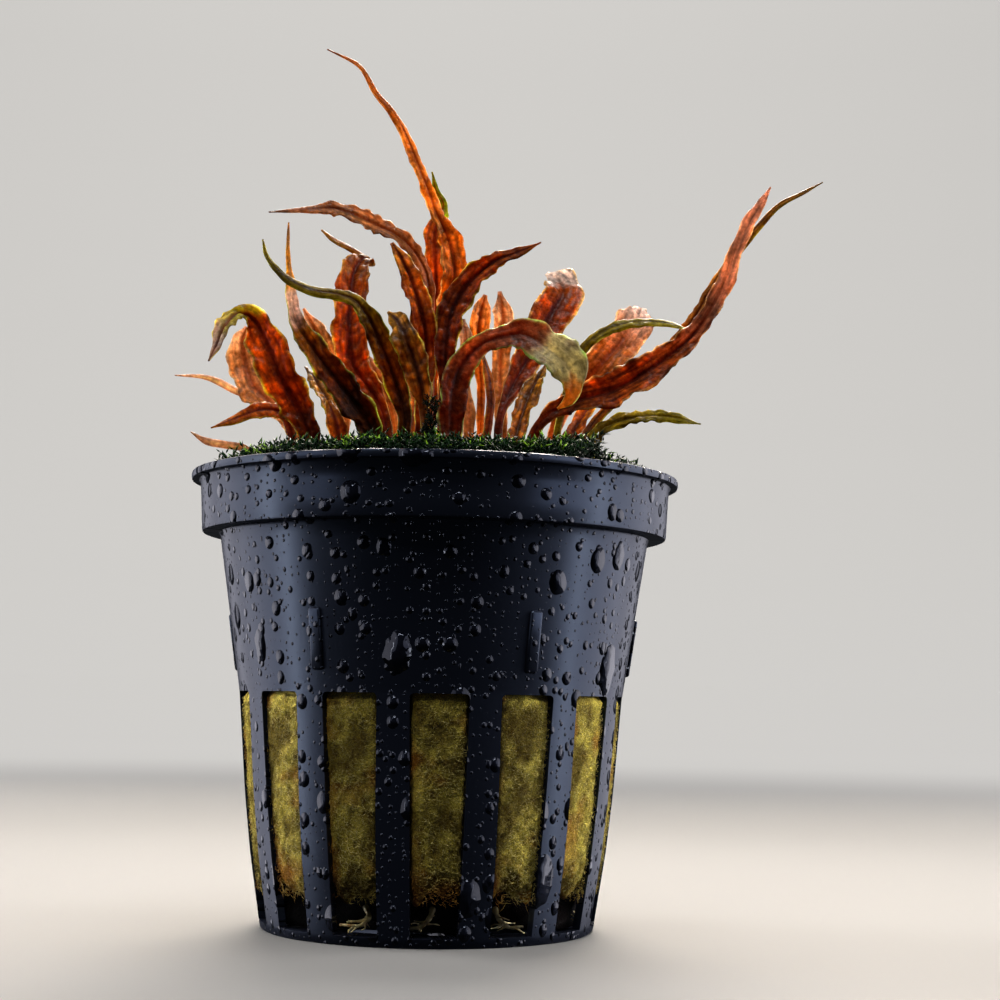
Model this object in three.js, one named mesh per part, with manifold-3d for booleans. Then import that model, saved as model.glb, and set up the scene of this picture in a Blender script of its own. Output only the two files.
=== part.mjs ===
// A brown-leaved water trumpet growing in a round slotted pot: black moulded pot,
// rock wool plug, moss cover, loose roots on the pot floor and the strap leaves.
// Millimetres, +Z up, origin on the pot's axis where its floor stands. -Y is the front.

import * as THREE from "three";
import { mergeVertices } from "three/addons/utils/BufferGeometryUtils.js";
import Module from "manifold-3d";

const wasm = await Module();
wasm.setup();

// Driving dimensions of the pot
const RIM_RADIUS = 27.5;
const POT_HEIGHT = 50;
const WALL = 0.9;
const LIP_THICKNESS = 0.9;
const COLLAR_BOTTOM = 43.3;
const COLLAR_RADIUS = 26.1;
const BODY_TOP_RADIUS = 24.1;
const BASE_RADIUS = 18.4;
const FLOOR_THICKNESS = 1;
const POT_SEGMENTS = 42;

// The wall's outside from the base to the step under the collar, as [radius, height]
const WALL_PROFILE = [
  [BASE_RADIUS, 0], [19.75, 8.5], [20.5, 15], [21.4, 25.8], [BODY_TOP_RADIUS, COLLAR_BOTTOM],
];

// The slots between the ribs
const RIB_COUNT = 14;
const RIB_PITCH = 360 / RIB_COUNT;
const FIRST_SLOT_ANGLE = 2.3;
const SLOT_TOP = 25.8;
const SLOT_TOP_WIDTH = 6.2;
const SLOT_BOTTOM_WIDTH = 5;
const SLOT_CORNER = 0.5;

// Short upright bars moulded on the wall above the slots
const BAR_COUNT = 6;
const BAR_FIRST_ANGLE = -32.4;
const BAR_WIDTH = 1.4;
const BAR_BOTTOM = 28;
const BAR_HEIGHT = 6.5;
const BAR_RADIUS = 22.6;
const BAR_DEPTH = 1.1;
const BAR_LEAN = 8.5;

// Openings in the pot's floor
const FLOOR_HOLE_COUNT = 7;
const FLOOR_HOLE_INNER = 6;
const FLOOR_HOLE_OUTER = 15;
const FLOOR_SPOKE = 2.6;

// Filling of the pot
const FIT_GAP = 0.35;
const PAD_INSET = 0.4;
const WOOL_BOTTOM = 4.8;
const WOOL_TOP = 49.4;
const WOOL_SEGMENTS = 28;
const MOSS_BOTTOM = 49.8;
const MOSS_EDGE_TOP = 51.6;
const MOSS_CROWN_TOP = 53.2;
const MOSS_RADIUS = 22.3;
const MOSS_SECTORS = 24;
const MOSS_RINGS = [4.5, 9, 13.5, 17.5, 20.8];
const ROOT_RADIUS = 0.4;

// Leaves: a leaf starts in a socket in the moss
const LEAF_ROOT_Z = 50.9;
const SOCKET_TOP = 56;
const SOCKET_GAP = 0.4;
const PETIOLE_THICKNESS = 0.95;
const BLADE_THICKNESS = 0.5;
const TIP_THICKNESS = 0.25;
const STATION_SPACING = 2.7;
const RUFFLE_LENGTH = 5.6;

const plastic = { color: 0x0c0d12, roughness: 0.35, metalness: 0 };
const wool = { color: 0x8f8434, roughness: 1, metalness: 0 };
const mossGreen = { color: 0x1d4a14, roughness: 0.95, metalness: 0 };
const rootTan = { color: 0xc2b079, roughness: 0.8, metalness: 0 };
const foliage = {
  orange: { color: 0xa03c0e, roughness: 0.5, metalness: 0 },
  russet: { color: 0x6f2a12, roughness: 0.5, metalness: 0 },
  olive: { color: 0x55431a, roughness: 0.5, metalness: 0 },
  salmon: { color: 0xb87856, roughness: 0.5, metalness: 0 },
  green: { color: 0x6f8424, roughness: 0.5, metalness: 0 },
};

// Each leaf: points on its midrib after the petiole leaves the moss, the blade's width at
// the root and at each of those points, which way its upper side faces at the root and at
// the tip, how far its margins are raised (as a part of the half width) and its ruffle.
const LEAVES = [
  {
    name: "leaf_01", tint: "orange", root: [-13, -7],
    route: [[-14.5, -7, 55], [-15.5, -7, 57], [-17.5, -8, 60.5], [-19, -8, 64], [-20.4, -8, 66.5],
      [-22, -9, 66.8], [-23.2, -10.2, 65.2], [-23.9, -11, 63], [-24.7, -12, 61]],
    width: [1.4, 2.6, 3.9, 4.3, 4.3, 2.7, 2.2, 2.2, 1.7, 0.3],
    face: [[0.15, -1, 0.1], [-0.6, -0.8, 0.2]], fold: 0.3, ruffle: 0.25,
  },
  {
    name: "leaf_02", tint: "salmon", root: [-15.5, 1],
    route: [[-17, 2, 56.5], [-19.5, 3, 59], [-21.4, 4, 61], [-22.6, 5, 64], [-22.9, 5, 66.4],
      [-22.5, 5, 68.2]],
    width: [1, 1.8, 3, 4, 4.1, 3.2, 0.5],
    face: [[0, -1, 0.1], [0.2, -1, 0]], fold: 0.2, ruffle: 0.25,
  },
  {
    name: "leaf_03", tint: "salmon", root: [-15, 6],
    route: [[-17.3, 7, 57.7], [-19.2, 7.3, 59.2], [-21.3, 7, 60], [-23.8, 6, 60.8], [-25.6, 5, 61.6],
      [-27.2, 4.2, 62], [-30.4, 3, 61.9]],
    width: [0.9, 0.8, 0.9, 0.9, 0.8, 0.7, 0.6, 0.2],
    face: [[0.4, -0.5, 1], [0, -0.4, 1]], fold: 0.3, ruffle: 0.1,
  },
  {
    name: "leaf_04", tint: "russet", root: [-15.5, -3],
    route: [[-16.8, -3, 56], [-17.8, -3, 57], [-19.6, -4, 57], [-22.2, -6, 55.6], [-24.7, -8, 54.3]],
    width: [0.9, 1.2, 1.7, 2, 1.2, 0.2],
    face: [[0, -1, 0], [0, -1, 0.4]], fold: 0.2, ruffle: 0.2,
  },
  {
    name: "leaf_05", tint: "salmon", root: [-20, -6],
    route: [[-21, -7, 52.2], [-23, -8.5, 52.4], [-25, -10, 52.6], [-26.5, -11, 53.4]],
    width: [0.7, 0.7, 0.7, 0.6, 0.2],
    face: [[0, -0.3, 1], [0, -0.3, 1]], fold: 0.2, ruffle: 0.1,
  },
  {
    name: "leaf_06", tint: "russet", root: [-1, 6],
    route: [[-1, 4.5, 62], [-1.2, 2, 70], [-1.7, 1, 74], [-3.4, 0, 76.8], [-5, -0.7, 78.1],
      [-7.5, -1, 79.2], [-10, -2, 80.1], [-12.3, -2, 80.7], [-14.4, -3, 80.3], [-16.5, -4, 79.9],
      [-19.3, -6, 79.1]],
    width: [1, 1.2, 1.5, 1.7, 2, 2.2, 2.3, 2.3, 1.9, 1.2, 0.7, 0.2],
    face: [[0.7, -1, 0.2], [0.2, -1, 0.9]], fold: 0.3, ruffle: 0.2,
  },
  {
    name: "leaf_07", tint: "orange", root: [-5, -5],
    route: [[-6.2, -5, 57], [-7.6, -5, 59.5], [-9.5, -5, 62], [-10, -5, 65.5], [-10, -4, 70],
      [-9.8, -3, 73], [-8.9, -1.2, 75], [-8, 1, 75.2], [-9.1, 2, 76.2], [-10.9, 1.7, 77.2],
      [-12.4, 1, 77.8], [-13.8, 0.3, 78.8]],
    width: [1, 1.6, 2.6, 3.7, 4, 3.8, 3.3, 2.2, 1, 0.7, 0.8, 0.8, 0.3],
    face: [[0, -1, 0], [0, -0.4, 1]], fold: 0.35, ruffle: 0.2,
  },
  {
    name: "leaf_08", tint: "olive", root: [-6.5, -10],
    route: [[-7.5, -10, 54.8], [-9.2, -11, 57], [-11.6, -12, 60], [-13.5, -13, 62.4], [-15, -13, 64.7],
      [-15.8, -12, 67], [-16.2, -11, 69.5], [-16.6, -10, 72.3], [-16.8, -9.5, 75], [-16.8, -9, 77.2]],
    width: [1.4, 2.8, 3.5, 3.2, 2.8, 1.9, 1.4, 1.2, 0.6, 0.4, 0.2],
    face: [[0.1, -1, 0.1], [0.3, -1, 0]], fold: 0.35, ruffle: 0.2,
  },
  {
    name: "leaf_09", tint: "olive", root: [-3.5, -7.5],
    route: [[-3.6, -8.5, 56], [-4.4, -9, 59], [-5.6, -10, 62], [-6.8, -11.3, 64.6], [-8, -12.3, 66.6],
      [-9.3, -13, 67.8], [-11.3, -13.7, 68.2], [-13.9, -14, 68.5], [-16.2, -14, 69.6], [-17.6, -14, 70.8],
      [-18.7, -14, 72.3], [-19.1, -14, 74]],
    width: [1, 1.6, 2.5, 2.7, 2.5, 2.1, 1.6, 1.3, 1.2, 1, 0.8, 0.5, 0.2],
    face: [[-0.2, -1, 0], [0.2, -1, 0.5]], fold: 0.3, ruffle: 0.2,
  },
  {
    name: "leaf_10", tint: "olive", root: [-1, -11],
    route: [[-1.4, -11, 56], [-1.9, -11.7, 59], [-2.8, -11.8, 62], [-3.7, -12.2, 64.2], [-4.6, -11, 66.1],
      [-5.6, -9.8, 67.3]],
    width: [1, 1, 2.5, 3.2, 3, 2, 0.4],
    face: [[0, -1, 0], [-0.3, -1, 0.3]], fold: 0.2, ruffle: 0.35,
  },
  {
    name: "leaf_11", tint: "orange", root: [0.5, 0],
    route: [[0.8, 0, 61.5], [0.9, 0, 67.5], [1.2, 0, 70.7], [1.7, -0.7, 73.3], [1.4, -1, 75.8],
      [0.6, -1, 78.3], [-0.5, -2, 80.2], [-1.3, -2, 82.2], [-3, -3, 86], [-4.2, -3, 88.8],
      [-5.9, -4, 91.6], [-7.7, -4, 93.7], [-9.6, -5, 96.5], [-13.3, -6, 98.1]],
    width: [1, 1.6, 2.3, 2.9, 3.2, 3.1, 2.5, 1.8, 1.6, 1.5, 1.3, 1, 0.8, 0.6, 0.2],
    face: [[-0.2, -1, 0], [0.6, -0.8, 0.3]], fold: 0.35, ruffle: 0.3,
  },
  {
    name: "leaf_12", tint: "orange", root: [-1, 10],
    route: [[-0.6, 9, 62], [-0.5, 8, 69], [-0.5, 6, 74], [-0.6, 5, 77.2], [-0.7, 5, 79.6],
      [-0.2, 5, 82], [0.2, 5, 83.4], [-0.7, 4, 84.9], [-1.2, 3, 86.8]],
    width: [1, 1.6, 2, 2.5, 2.6, 2.5, 1.9, 1.1, 0.8, 0.2],
    face: [[0, -1, 0.1], [0, -1, 0]], fold: 0.25, ruffle: 0.3,
  },
  {
    name: "leaf_13", tint: "russet", root: [-2, -3.5],
    route: [[-1.7, -4, 59], [-1.4, -4, 64], [-1.9, -5, 67.7], [-2.9, -5, 71], [-4.3, -5, 74.2],
      [-5.5, -5, 76.2]],
    width: [1, 1.8, 2.5, 2.8, 2.6, 1.9, 0.5],
    face: [[0.2, -1, 0], [0.2, -1, 0.2]], fold: 0.35, ruffle: 0.2,
  },
  {
    name: "leaf_14", tint: "russet", root: [1.5, -5],
    route: [[1, -5.7, 59], [0.8, -6.3, 64], [1.2, -6.3, 67.2], [2.3, -6.2, 70], [4.2, -6.6, 72.4],
      [6.3, -7.4, 73.9], [8.4, -8, 74.6], [11.1, -9, 75.7]],
    width: [1, 1.3, 1.9, 2.6, 3, 2.6, 1.6, 1.2, 0.2],
    face: [[0, -1, 0], [-0.2, -1, 0.3]], fold: 0.3, ruffle: 0.25,
  },
  {
    name: "leaf_15", tint: "russet", root: [1.5, -13],
    route: [[1.5, -14, 56], [1.9, -14.2, 59], [3, -14.3, 61.5], [4.7, -15, 63], [6.7, -15.3, 63.7],
      [9, -15.6, 63.9], [11, -16, 62.9], [12.9, -16.2, 61.5], [14, -16.3, 60], [14.3, -16.3, 58.4],
      [13.9, -16.2, 57], [12.7, -16, 56]],
    width: [1.9, 2.3, 2.3, 1.8, 1.8, 2.6, 3.6, 4.1, 4, 2.9, 1.6, 1.1, 0.3],
    face: [[0.3, -1, 0.1], [0.1, -1, 0.3]], fold: 0.15, ruffle: 0.35,
  },
  {
    name: "leaf_16", tint: "orange", root: [6.5, -9],
    route: [[7, -8.2, 56.5], [8.4, -7, 60], [9.7, -6, 62.7], [11.4, -5, 66.2], [12.9, -4, 69], [14, -3, 71.2],
      [13.8, -1.2, 73], [12.3, 0, 74.3]],
    width: [0.9, 1, 2.1, 3.2, 3.8, 4, 3.4, 3, 0.6],
    face: [[0, -1, 0.1], [0.1, -1, 0.2]], fold: 0.3, ruffle: 0.25,
  },
  {
    name: "leaf_17", tint: "russet", root: [4.8, -6],
    route: [[5.9, -5, 57.5], [5.7, -4, 61], [5, -3, 64]],
    width: [0.9, 1, 1.1, 0.4],
    face: [[0.2, -1, 0], [0.2, -1, 0]], fold: 0.3, ruffle: 0.15,
  },
  {
    name: "leaf_18", tint: "salmon", root: [7.7, 1],
    route: [[7.3, 2, 59.7], [7.2, 3, 63.3], [7.3, 3, 67], [7.4, 3, 70], [7, 3, 72.7]],
    width: [0.9, 1.6, 2, 2.4, 2.5, 0.5],
    face: [[-0.2, -1, 0], [0.2, -1, 0]], fold: 0.25, ruffle: 0.25,
  },
  {
    name: "leaf_19", tint: "orange", root: [4.9, 4],
    route: [[5, 3.2, 61], [4.5, 2, 65.5], [4.6, 1.2, 67.8], [4.8, 1, 70], [5.3, 1, 71.8]],
    width: [0.9, 1, 1.6, 2.5, 2.4, 0.5],
    face: [[0, -1, 0], [0.3, -1, 0]], fold: 0.3, ruffle: 0.35,
  },
  {
    name: "leaf_20", tint: "salmon", root: [3.4, -9],
    route: [[3.5, -8, 56.5], [3.1, -7, 59.3], [2.9, -4, 63.2], [3, -2.8, 66.3], [2.7, -2.3, 68.2]],
    width: [0.9, 1.4, 1.1, 1, 1.5, 0.5],
    face: [[0, -1, 0], [0, -1, 0.2]], fold: 0.25, ruffle: 0.2,
  },
  {
    name: "leaf_21", tint: "orange", root: [12.5, 3],
    route: [[14.3, 3, 58.2], [16.6, 3, 61.4], [19, 3, 64.3], [21.3, 4, 67], [23, 5, 69.7], [23.9, 7, 72]],
    width: [1, 1.6, 3.4, 4.2, 4.2, 4, 1.4],
    face: [[0, -1, 0.1], [0, -1, 0.5]], fold: 0.2, ruffle: 0.3,
  },
  {
    name: "leaf_22", tint: "green", root: [12.8, -4],
    route: [[14, -5, 58], [15.1, -6.7, 62], [16.2, -8, 64.2], [18.1, -8, 65.8], [20.3, -8, 66.7],
      [23, -8, 67.1], [25.5, -8, 67], [27.8, -9, 66.2]],
    width: [0.8, 0.9, 1, 1.2, 1.4, 1.5, 1.4, 1.1, 0.2],
    face: [[0.3, -1, 0.4], [0, -0.9, 1]], fold: 0.25, ruffle: 0.15,
  },
  {
    name: "leaf_23", tint: "orange", root: [9.3, -8],
    route: [[11.3, -9, 55.4], [13.5, -9, 57.2], [15.8, -10, 58], [18.8, -11, 58.8], [21.8, -12, 60.3],
      [24.6, -12, 62.3], [26.6, -12, 64], [28.2, -12, 65.8], [29.8, -12, 68.3], [31.3, -12, 71.4],
      [32.3, -12, 74.5], [33.7, -12, 77.6], [35, -12, 79.9], [36.1, -12, 81.8]],
    width: [0.9, 1.3, 2.1, 3.2, 4.1, 3.9, 3.1, 2.4, 2, 1.9, 2.1, 1.5, 1.6, 1, 0.2],
    face: [[0, -1, 0.3], [-0.3, -1, 0.1]], fold: 0.35, ruffle: 0.3,
  },
  {
    name: "leaf_24", tint: "olive", root: [14.5, 8],
    route: [[19.5, 9, 59.2], [25.4, 9, 64.7], [30, 8, 70.1], [33.4, 7, 76], [35.8, 6, 79.3],
      [38, 5, 82], [40, 4, 84.1], [42.6, 3, 85.4], [44.8, 2, 86.5]],
    width: [0.9, 1.3, 1.8, 1.8, 1.3, 1.1, 1, 0.9, 0.7, 0.2],
    face: [[0, -0.8, 0.6], [-0.5, -0.8, 0.6]], fold: 0.3, ruffle: 0.2,
  },
  {
    name: "leaf_25", tint: "green", root: [16.5, -4.8],
    route: [[17.9, -5, 54.9], [19.6, -6, 56], [21.6, -7, 56.5], [23.7, -8, 56.6], [26.2, -9, 56.3],
      [28.8, -10, 55.6]],
    width: [1, 1.9, 2, 2, 2, 1.6, 0.2],
    face: [[0, -1, 0.5], [0, -0.9, 0.8]], fold: 0.15, ruffle: 0.2,
  },
  {
    name: "leaf_26", tint: "salmon", root: [-10.5, 3],
    route: [[-11.2, 4, 60], [-12.8, 4, 64.3], [-14.3, 4, 67.7], [-15.9, 4, 70.3]],
    width: [0.9, 1.7, 2.7, 2.2, 0.4],
    face: [[0.2, -1, 0], [0, -1, 0]], fold: 0.25, ruffle: 0.25,
  },
  {
    name: "leaf_27", tint: "orange", root: [-10.3, -9.3],
    route: [[-11, -9.3, 54.8], [-12, -8.3, 57.6]],
    width: [1.3, 2.1, 0.7],
    face: [[0, -1, 0], [0, -1, 0]], fold: 0.3, ruffle: 0.15,
  },
  {
    name: "leaf_28", tint: "salmon", root: [-4.1, 2],
    route: [[-5.7, 2, 59.5], [-7.3, 2, 62.7], [-8.3, 3, 64.8]],
    width: [0.9, 1.5, 2.2, 0.5],
    face: [[0, -1, 0], [0.2, -1, 0]], fold: 0.25, ruffle: 0.2,
  },
  {
    name: "leaf_29", tint: "olive", root: [-10.5, 9],
    route: [[-12.5, 13, 59], [-14.5, 16.5, 63], [-16.5, 18.5, 66]],
    width: [1, 2, 2.6, 0.4],
    face: [[0.2, -1, 0.5], [0.3, -0.8, 0.8]], fold: 0.3, ruffle: 0.25,
  },
  {
    name: "leaf_30", tint: "russet", root: [-6, 10],
    route: [[-7, 14, 59], [-8, 17, 64], [-9.5, 19, 68.5]],
    width: [1, 2.2, 2.8, 0.4],
    face: [[0, -1, 0.4], [0.2, -0.8, 0.6]], fold: 0.3, ruffle: 0.25,
  },
  {
    name: "leaf_31", tint: "orange", root: [-3.3, 13],
    route: [[-3, 16, 59], [-2.4, 19, 65], [-1.2, 21, 70]],
    width: [1, 2, 2.6, 0.4],
    face: [[0, -1, 0.4], [-0.2, -0.8, 0.6]], fold: 0.3, ruffle: 0.25,
  },
  {
    name: "leaf_32", tint: "russet", root: [2, 12],
    route: [[2.1, 16, 59], [2, 19, 64.5], [1.6, 20, 69]],
    width: [1, 2, 2.4, 0.4],
    face: [[0, -1, 0.4], [0, -0.8, 0.6]], fold: 0.3, ruffle: 0.25,
  },
  {
    name: "leaf_33", tint: "olive", root: [8.7, 11],
    route: [[10, 15, 58.5], [11.7, 18, 63.5], [13.7, 20, 67.5]],
    width: [1, 2.2, 2.8, 0.4],
    face: [[0, -1, 0.4], [-0.3, -0.8, 0.7]], fold: 0.3, ruffle: 0.25,
  },
  {
    name: "leaf_34", tint: "orange", root: [14, 12.2],
    route: [[17, 15, 58.5], [20, 17, 63], [23.3, 19, 67]],
    width: [1, 2, 2.6, 0.4],
    face: [[0, -1, 0.5], [-0.3, -0.8, 0.8]], fold: 0.3, ruffle: 0.25,
  },
  {
    name: "leaf_35", tint: "olive", root: [-8, 14.2],
    route: [[-9.8, 19, 56], [-11.6, 23.5, 58], [-12.8, 27.5, 57]],
    width: [1, 2, 2.6, 0.4],
    face: [[0, 0.4, 1], [0.2, 0.6, 1]], fold: 0.3, ruffle: 0.25,
  },
  {
    name: "leaf_36", tint: "russet", root: [6, 14.5],
    route: [[7.7, 19, 56.5], [9.6, 23.5, 59], [11, 27.5, 58.5]],
    width: [1, 2, 2.8, 0.4],
    face: [[0, 0.4, 1], [-0.2, 0.6, 1]], fold: 0.3, ruffle: 0.25,
  },
];

// Roots that hang out of the rock wool and lie on the pot's floor
const ROOTS = [
  [[7, -13.4, 3.7], [7.5, -14.2, 2.6], [8.4, -14.5, 1.9], [10, -13.5, 1.8]],
  [[4.6, -14, 3.7], [5.2, -15, 2.8], [5.6, -15.6, 1.9], [3.4, -15.9, 1.8]],
  [[0.6, -14.6, 3.7], [0.2, -15.4, 2.7], [-0.8, -15.9, 1.9], [-2.8, -15.5, 1.8]],
  [[-6.4, -13.4, 3.7], [-6, -14.4, 2.6], [-6.8, -14.9, 1.9], [-9, -13.6, 1.8]],
  [[-14, -5, 3.7], [-14.9, -5.6, 2.6], [-15.2, -4.3, 1.9], [-15.4, -2, 1.8]],
  [[13.8, -5.6, 3.7], [14.6, -6.2, 2.7], [15.1, -4.9, 1.9], [15.4, -2.6, 1.8]],
  [[-5, 13.6, 3.7], [-5.5, 14.6, 2.6], [-4.4, 15.3, 1.9], [-1.8, 15.6, 1.8]],
];

const radians = (degrees) => (degrees * Math.PI) / 180;

// A direction in the ground plane, counted from the front (-Y) towards +X
const outwardAt = (degrees) => new THREE.Vector3(Math.sin(radians(degrees)), -Math.cos(radians(degrees)), 0);

function toManifold(geometry) {
  const bare = geometry.clone();
  for (const name of Object.keys(bare.attributes)) {
    if (name !== "position") bare.deleteAttribute(name);
  }
  const merged = mergeVertices(bare, 1e-4);
  return new wasm.Manifold(new wasm.Mesh({
    numProp: 3,
    vertProperties: new Float32Array(merged.attributes.position.array),
    triVerts: new Uint32Array(merged.index.array),
  }));
}

function fromManifold(solid) {
  const mesh = solid.getMesh();
  const geometry = new THREE.BufferGeometry();
  geometry.setAttribute("position", new THREE.BufferAttribute(new Float32Array(mesh.vertProperties), 3));
  geometry.setIndex(new THREE.BufferAttribute(new Uint32Array(mesh.triVerts), 1));
  return geometry;
}

function namedMesh(name, geometry, finish) {
  geometry.computeVertexNormals();
  const mesh = new THREE.Mesh(geometry, new THREE.MeshStandardMaterial(finish));
  mesh.name = name;
  return mesh;
}

// A lathe about the pot's axis from a list of [radius, height] pairs
function turned(profile, segments) {
  const points = profile.map(([radius, height]) => new THREE.Vector2(radius, height));
  const lathe = new THREE.LatheGeometry(points, segments);
  return lathe.rotateX(Math.PI / 2);
}

// Puts a shape's plane upright across the given direction, its depth running outwards
function facingOutward(geometry, degrees, radius) {
  const outward = outwardAt(degrees);
  const up = new THREE.Vector3(0, 0, 1);
  const across = new THREE.Vector3().crossVectors(up, outward);
  const place = new THREE.Matrix4().makeBasis(across, up, outward);
  place.setPosition(outward.multiplyScalar(radius));
  return geometry.applyMatrix4(place);
}

// A block of a slot's outline through the wall, drawn in by inset and standing on low
function slotBlock(degrees, inset, low) {
  const lowHalf = SLOT_BOTTOM_WIDTH / 2 - inset;
  const topHalf = SLOT_TOP_WIDTH / 2 - inset;
  const top = SLOT_TOP - inset;
  const shape = new THREE.Shape();
  shape.moveTo(-lowHalf, low);
  shape.lineTo(lowHalf, low);
  shape.lineTo(topHalf, top - SLOT_CORNER);
  shape.lineTo(topHalf - SLOT_CORNER, top);
  shape.lineTo(SLOT_CORNER - topHalf, top);
  shape.lineTo(-topHalf, top - SLOT_CORNER);
  shape.closePath();
  const depth = 10;
  const cutter = new THREE.ExtrudeGeometry(shape, { depth, bevelEnabled: false });
  return facingOutward(cutter, degrees, BASE_RADIUS - depth / 2);
}

function wallBar(degrees) {
  const bar = new THREE.BoxGeometry(BAR_WIDTH, BAR_HEIGHT, BAR_DEPTH);
  bar.rotateX(radians(BAR_LEAN));
  bar.translate(0, BAR_BOTTOM + BAR_HEIGHT / 2, 0);
  return facingOutward(bar, degrees, BAR_RADIUS - BAR_DEPTH / 2);
}

// A hole between two spokes of the floor, with the middle disc left whole
function floorHoleCutter(index) {
  const span = Math.PI / FLOOR_HOLE_COUNT;
  const innerHalf = span - FLOOR_SPOKE / 2 / FLOOR_HOLE_INNER;
  const outerHalf = span - FLOOR_SPOKE / 2 / FLOOR_HOLE_OUTER;
  const shape = new THREE.Shape();
  shape.absarc(0, 0, FLOOR_HOLE_OUTER, -outerHalf, outerHalf, false);
  shape.absarc(0, 0, FLOOR_HOLE_INNER, innerHalf, -innerHalf, true);
  shape.closePath();
  const cutter = new THREE.ExtrudeGeometry(shape, {
    depth: 3 * FLOOR_THICKNESS, bevelEnabled: false, curveSegments: 4,
  });
  cutter.translate(0, 0, -FLOOR_THICKNESS);
  return cutter.rotateZ((2 * Math.PI * index) / FLOOR_HOLE_COUNT);
}

function potGeometry() {
  const outside = [
    ...WALL_PROFILE, [COLLAR_RADIUS, COLLAR_BOTTOM + 0.2],
    [COLLAR_RADIUS + 0.3, POT_HEIGHT - LIP_THICKNESS - 0.2],
    [RIM_RADIUS, POT_HEIGHT - LIP_THICKNESS], [RIM_RADIUS, POT_HEIGHT],
  ];
  const innerWall = WALL_PROFILE.slice(1, -1).map(([radius, height]) => [radius - WALL, height]).reverse();
  const inside = [
    [COLLAR_RADIUS - 0.6, POT_HEIGHT], [COLLAR_RADIUS - WALL, COLLAR_BOTTOM + WALL + 0.2],
    [BODY_TOP_RADIUS - WALL, COLLAR_BOTTOM - 0.4], ...innerWall, [BASE_RADIUS - WALL, FLOOR_THICKNESS],
  ];
  const profile = [[0, 0], ...outside, ...inside, [0, FLOOR_THICKNESS]];
  let pot = toManifold(turned(profile, POT_SEGMENTS));
  for (let k = 0; k < BAR_COUNT; k += 1) {
    pot = pot.add(toManifold(wallBar(BAR_FIRST_ANGLE + (k * 360) / BAR_COUNT)));
  }
  for (let k = 0; k < RIB_COUNT; k += 1) {
    pot = pot.subtract(toManifold(slotBlock(FIRST_SLOT_ANGLE + k * RIB_PITCH, 0, FLOOR_THICKNESS)));
  }
  for (let k = 0; k < FLOOR_HOLE_COUNT; k += 1) {
    pot = pot.subtract(toManifold(floorHoleCutter(k)));
  }
  return fromManifold(pot);
}

// A plug that fills the pot's inside, with a ragged lower edge. It swells into every slot.
function woolGeometry() {
  const rings = [
    [16.9, WOOL_BOTTOM], [18, WOOL_BOTTOM + 1.6], [19.2, 15], [20.1, SLOT_TOP], [22.6, 42.4],
    [22.6, WOOL_TOP - 0.8], [22, WOOL_TOP],
  ];
  const geometry = turned([[0, WOOL_BOTTOM + 0.3], ...rings, [0, WOOL_TOP]], WOOL_SEGMENTS);
  const position = geometry.attributes.position;
  for (let i = 0; i < position.count; i += 1) {
    const [x, y, z] = [position.getX(i), position.getY(i), position.getZ(i)];
    const onLowerEdge = z < WOOL_BOTTOM + 1 && Math.hypot(x, y) > 1;
    if (onLowerEdge) position.setZ(i, z + 0.45 * Math.sin(5 * Math.atan2(x, -y)));
  }
  const core = toManifold(geometry);
  const skin = WALL_PROFILE.slice(0, -1).map(([radius, height]) => [radius - FIT_GAP, height]);
  const reach = toManifold(turned([[0, 0], ...skin, [0, SLOT_TOP]], WOOL_SEGMENTS));
  let plug = core;
  for (let k = 0; k < RIB_COUNT; k += 1) {
    const low = WOOL_BOTTOM + 1.2 + 0.5 * Math.sin(5 * k);
    const pad = toManifold(slotBlock(FIRST_SLOT_ANGLE + k * RIB_PITCH, PAD_INSET, low));
    plug = plug.add(pad.intersect(reach));
  }
  return fromManifold(plug);
}

// How far the moss spreads in a direction, as a part of its radius
function mossReach(turn) {
  return 1 + 0.035 * Math.sin(2 * turn + 2.4) + 0.03 * Math.sin(5 * turn) + 0.02 * Math.sin(9 * turn + 1);
}

// A low dome with lumps and a mound at the right of its front
function mossHeight(x, y) {
  const outwards = Math.min(Math.hypot(x, y) / 21, 1);
  const dome = MOSS_EDGE_TOP + (MOSS_CROWN_TOP - MOSS_EDGE_TOP) * Math.cos((Math.PI / 2) * outwards);
  const rightMound = 1.3 * Math.exp(-(((x - 13) / 6) ** 2 + ((y + 12) / 6) ** 2));
  const lumps = 0.35 * Math.sin(0.62 * x + 0.3) * Math.cos(0.71 * y) + 0.2 * Math.sin(1.3 * x - 0.9 * y);
  return dome + rightMound + lumps;
}

function mossGeometry() {
  const vertices = [0, 0, MOSS_BOTTOM, 0, 0, mossHeight(0, 0)];
  const faces = [];
  const ringStart = [];
  const addRing = (radius, height) => {
    ringStart.push(vertices.length / 3);
    for (let k = 0; k < MOSS_SECTORS; k += 1) {
      const turn = (2 * Math.PI * k) / MOSS_SECTORS;
      const reach = radius * mossReach(turn);
      const x = reach * Math.sin(turn);
      const y = -reach * Math.cos(turn);
      vertices.push(x, y, height === undefined ? mossHeight(x, y) : height);
    }
  };
  for (const radius of MOSS_RINGS) addRing(radius);
  addRing(MOSS_RADIUS, (MOSS_BOTTOM + MOSS_EDGE_TOP) / 2);
  addRing(MOSS_RADIUS - 0.6, MOSS_BOTTOM);
  const next = (k) => (k + 1) % MOSS_SECTORS;
  for (let k = 0; k < MOSS_SECTORS; k += 1) {
    faces.push(1, ringStart[0] + k, ringStart[0] + next(k));
    for (let r = 0; r + 1 < ringStart.length; r += 1) {
      const [inner, outer] = [ringStart[r], ringStart[r + 1]];
      faces.push(inner + k, outer + k, outer + next(k), inner + k, outer + next(k), inner + next(k));
    }
    const last = ringStart[ringStart.length - 1];
    faces.push(0, last + next(k), last + k);
  }
  return closedGeometry(vertices, faces);
}

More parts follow.
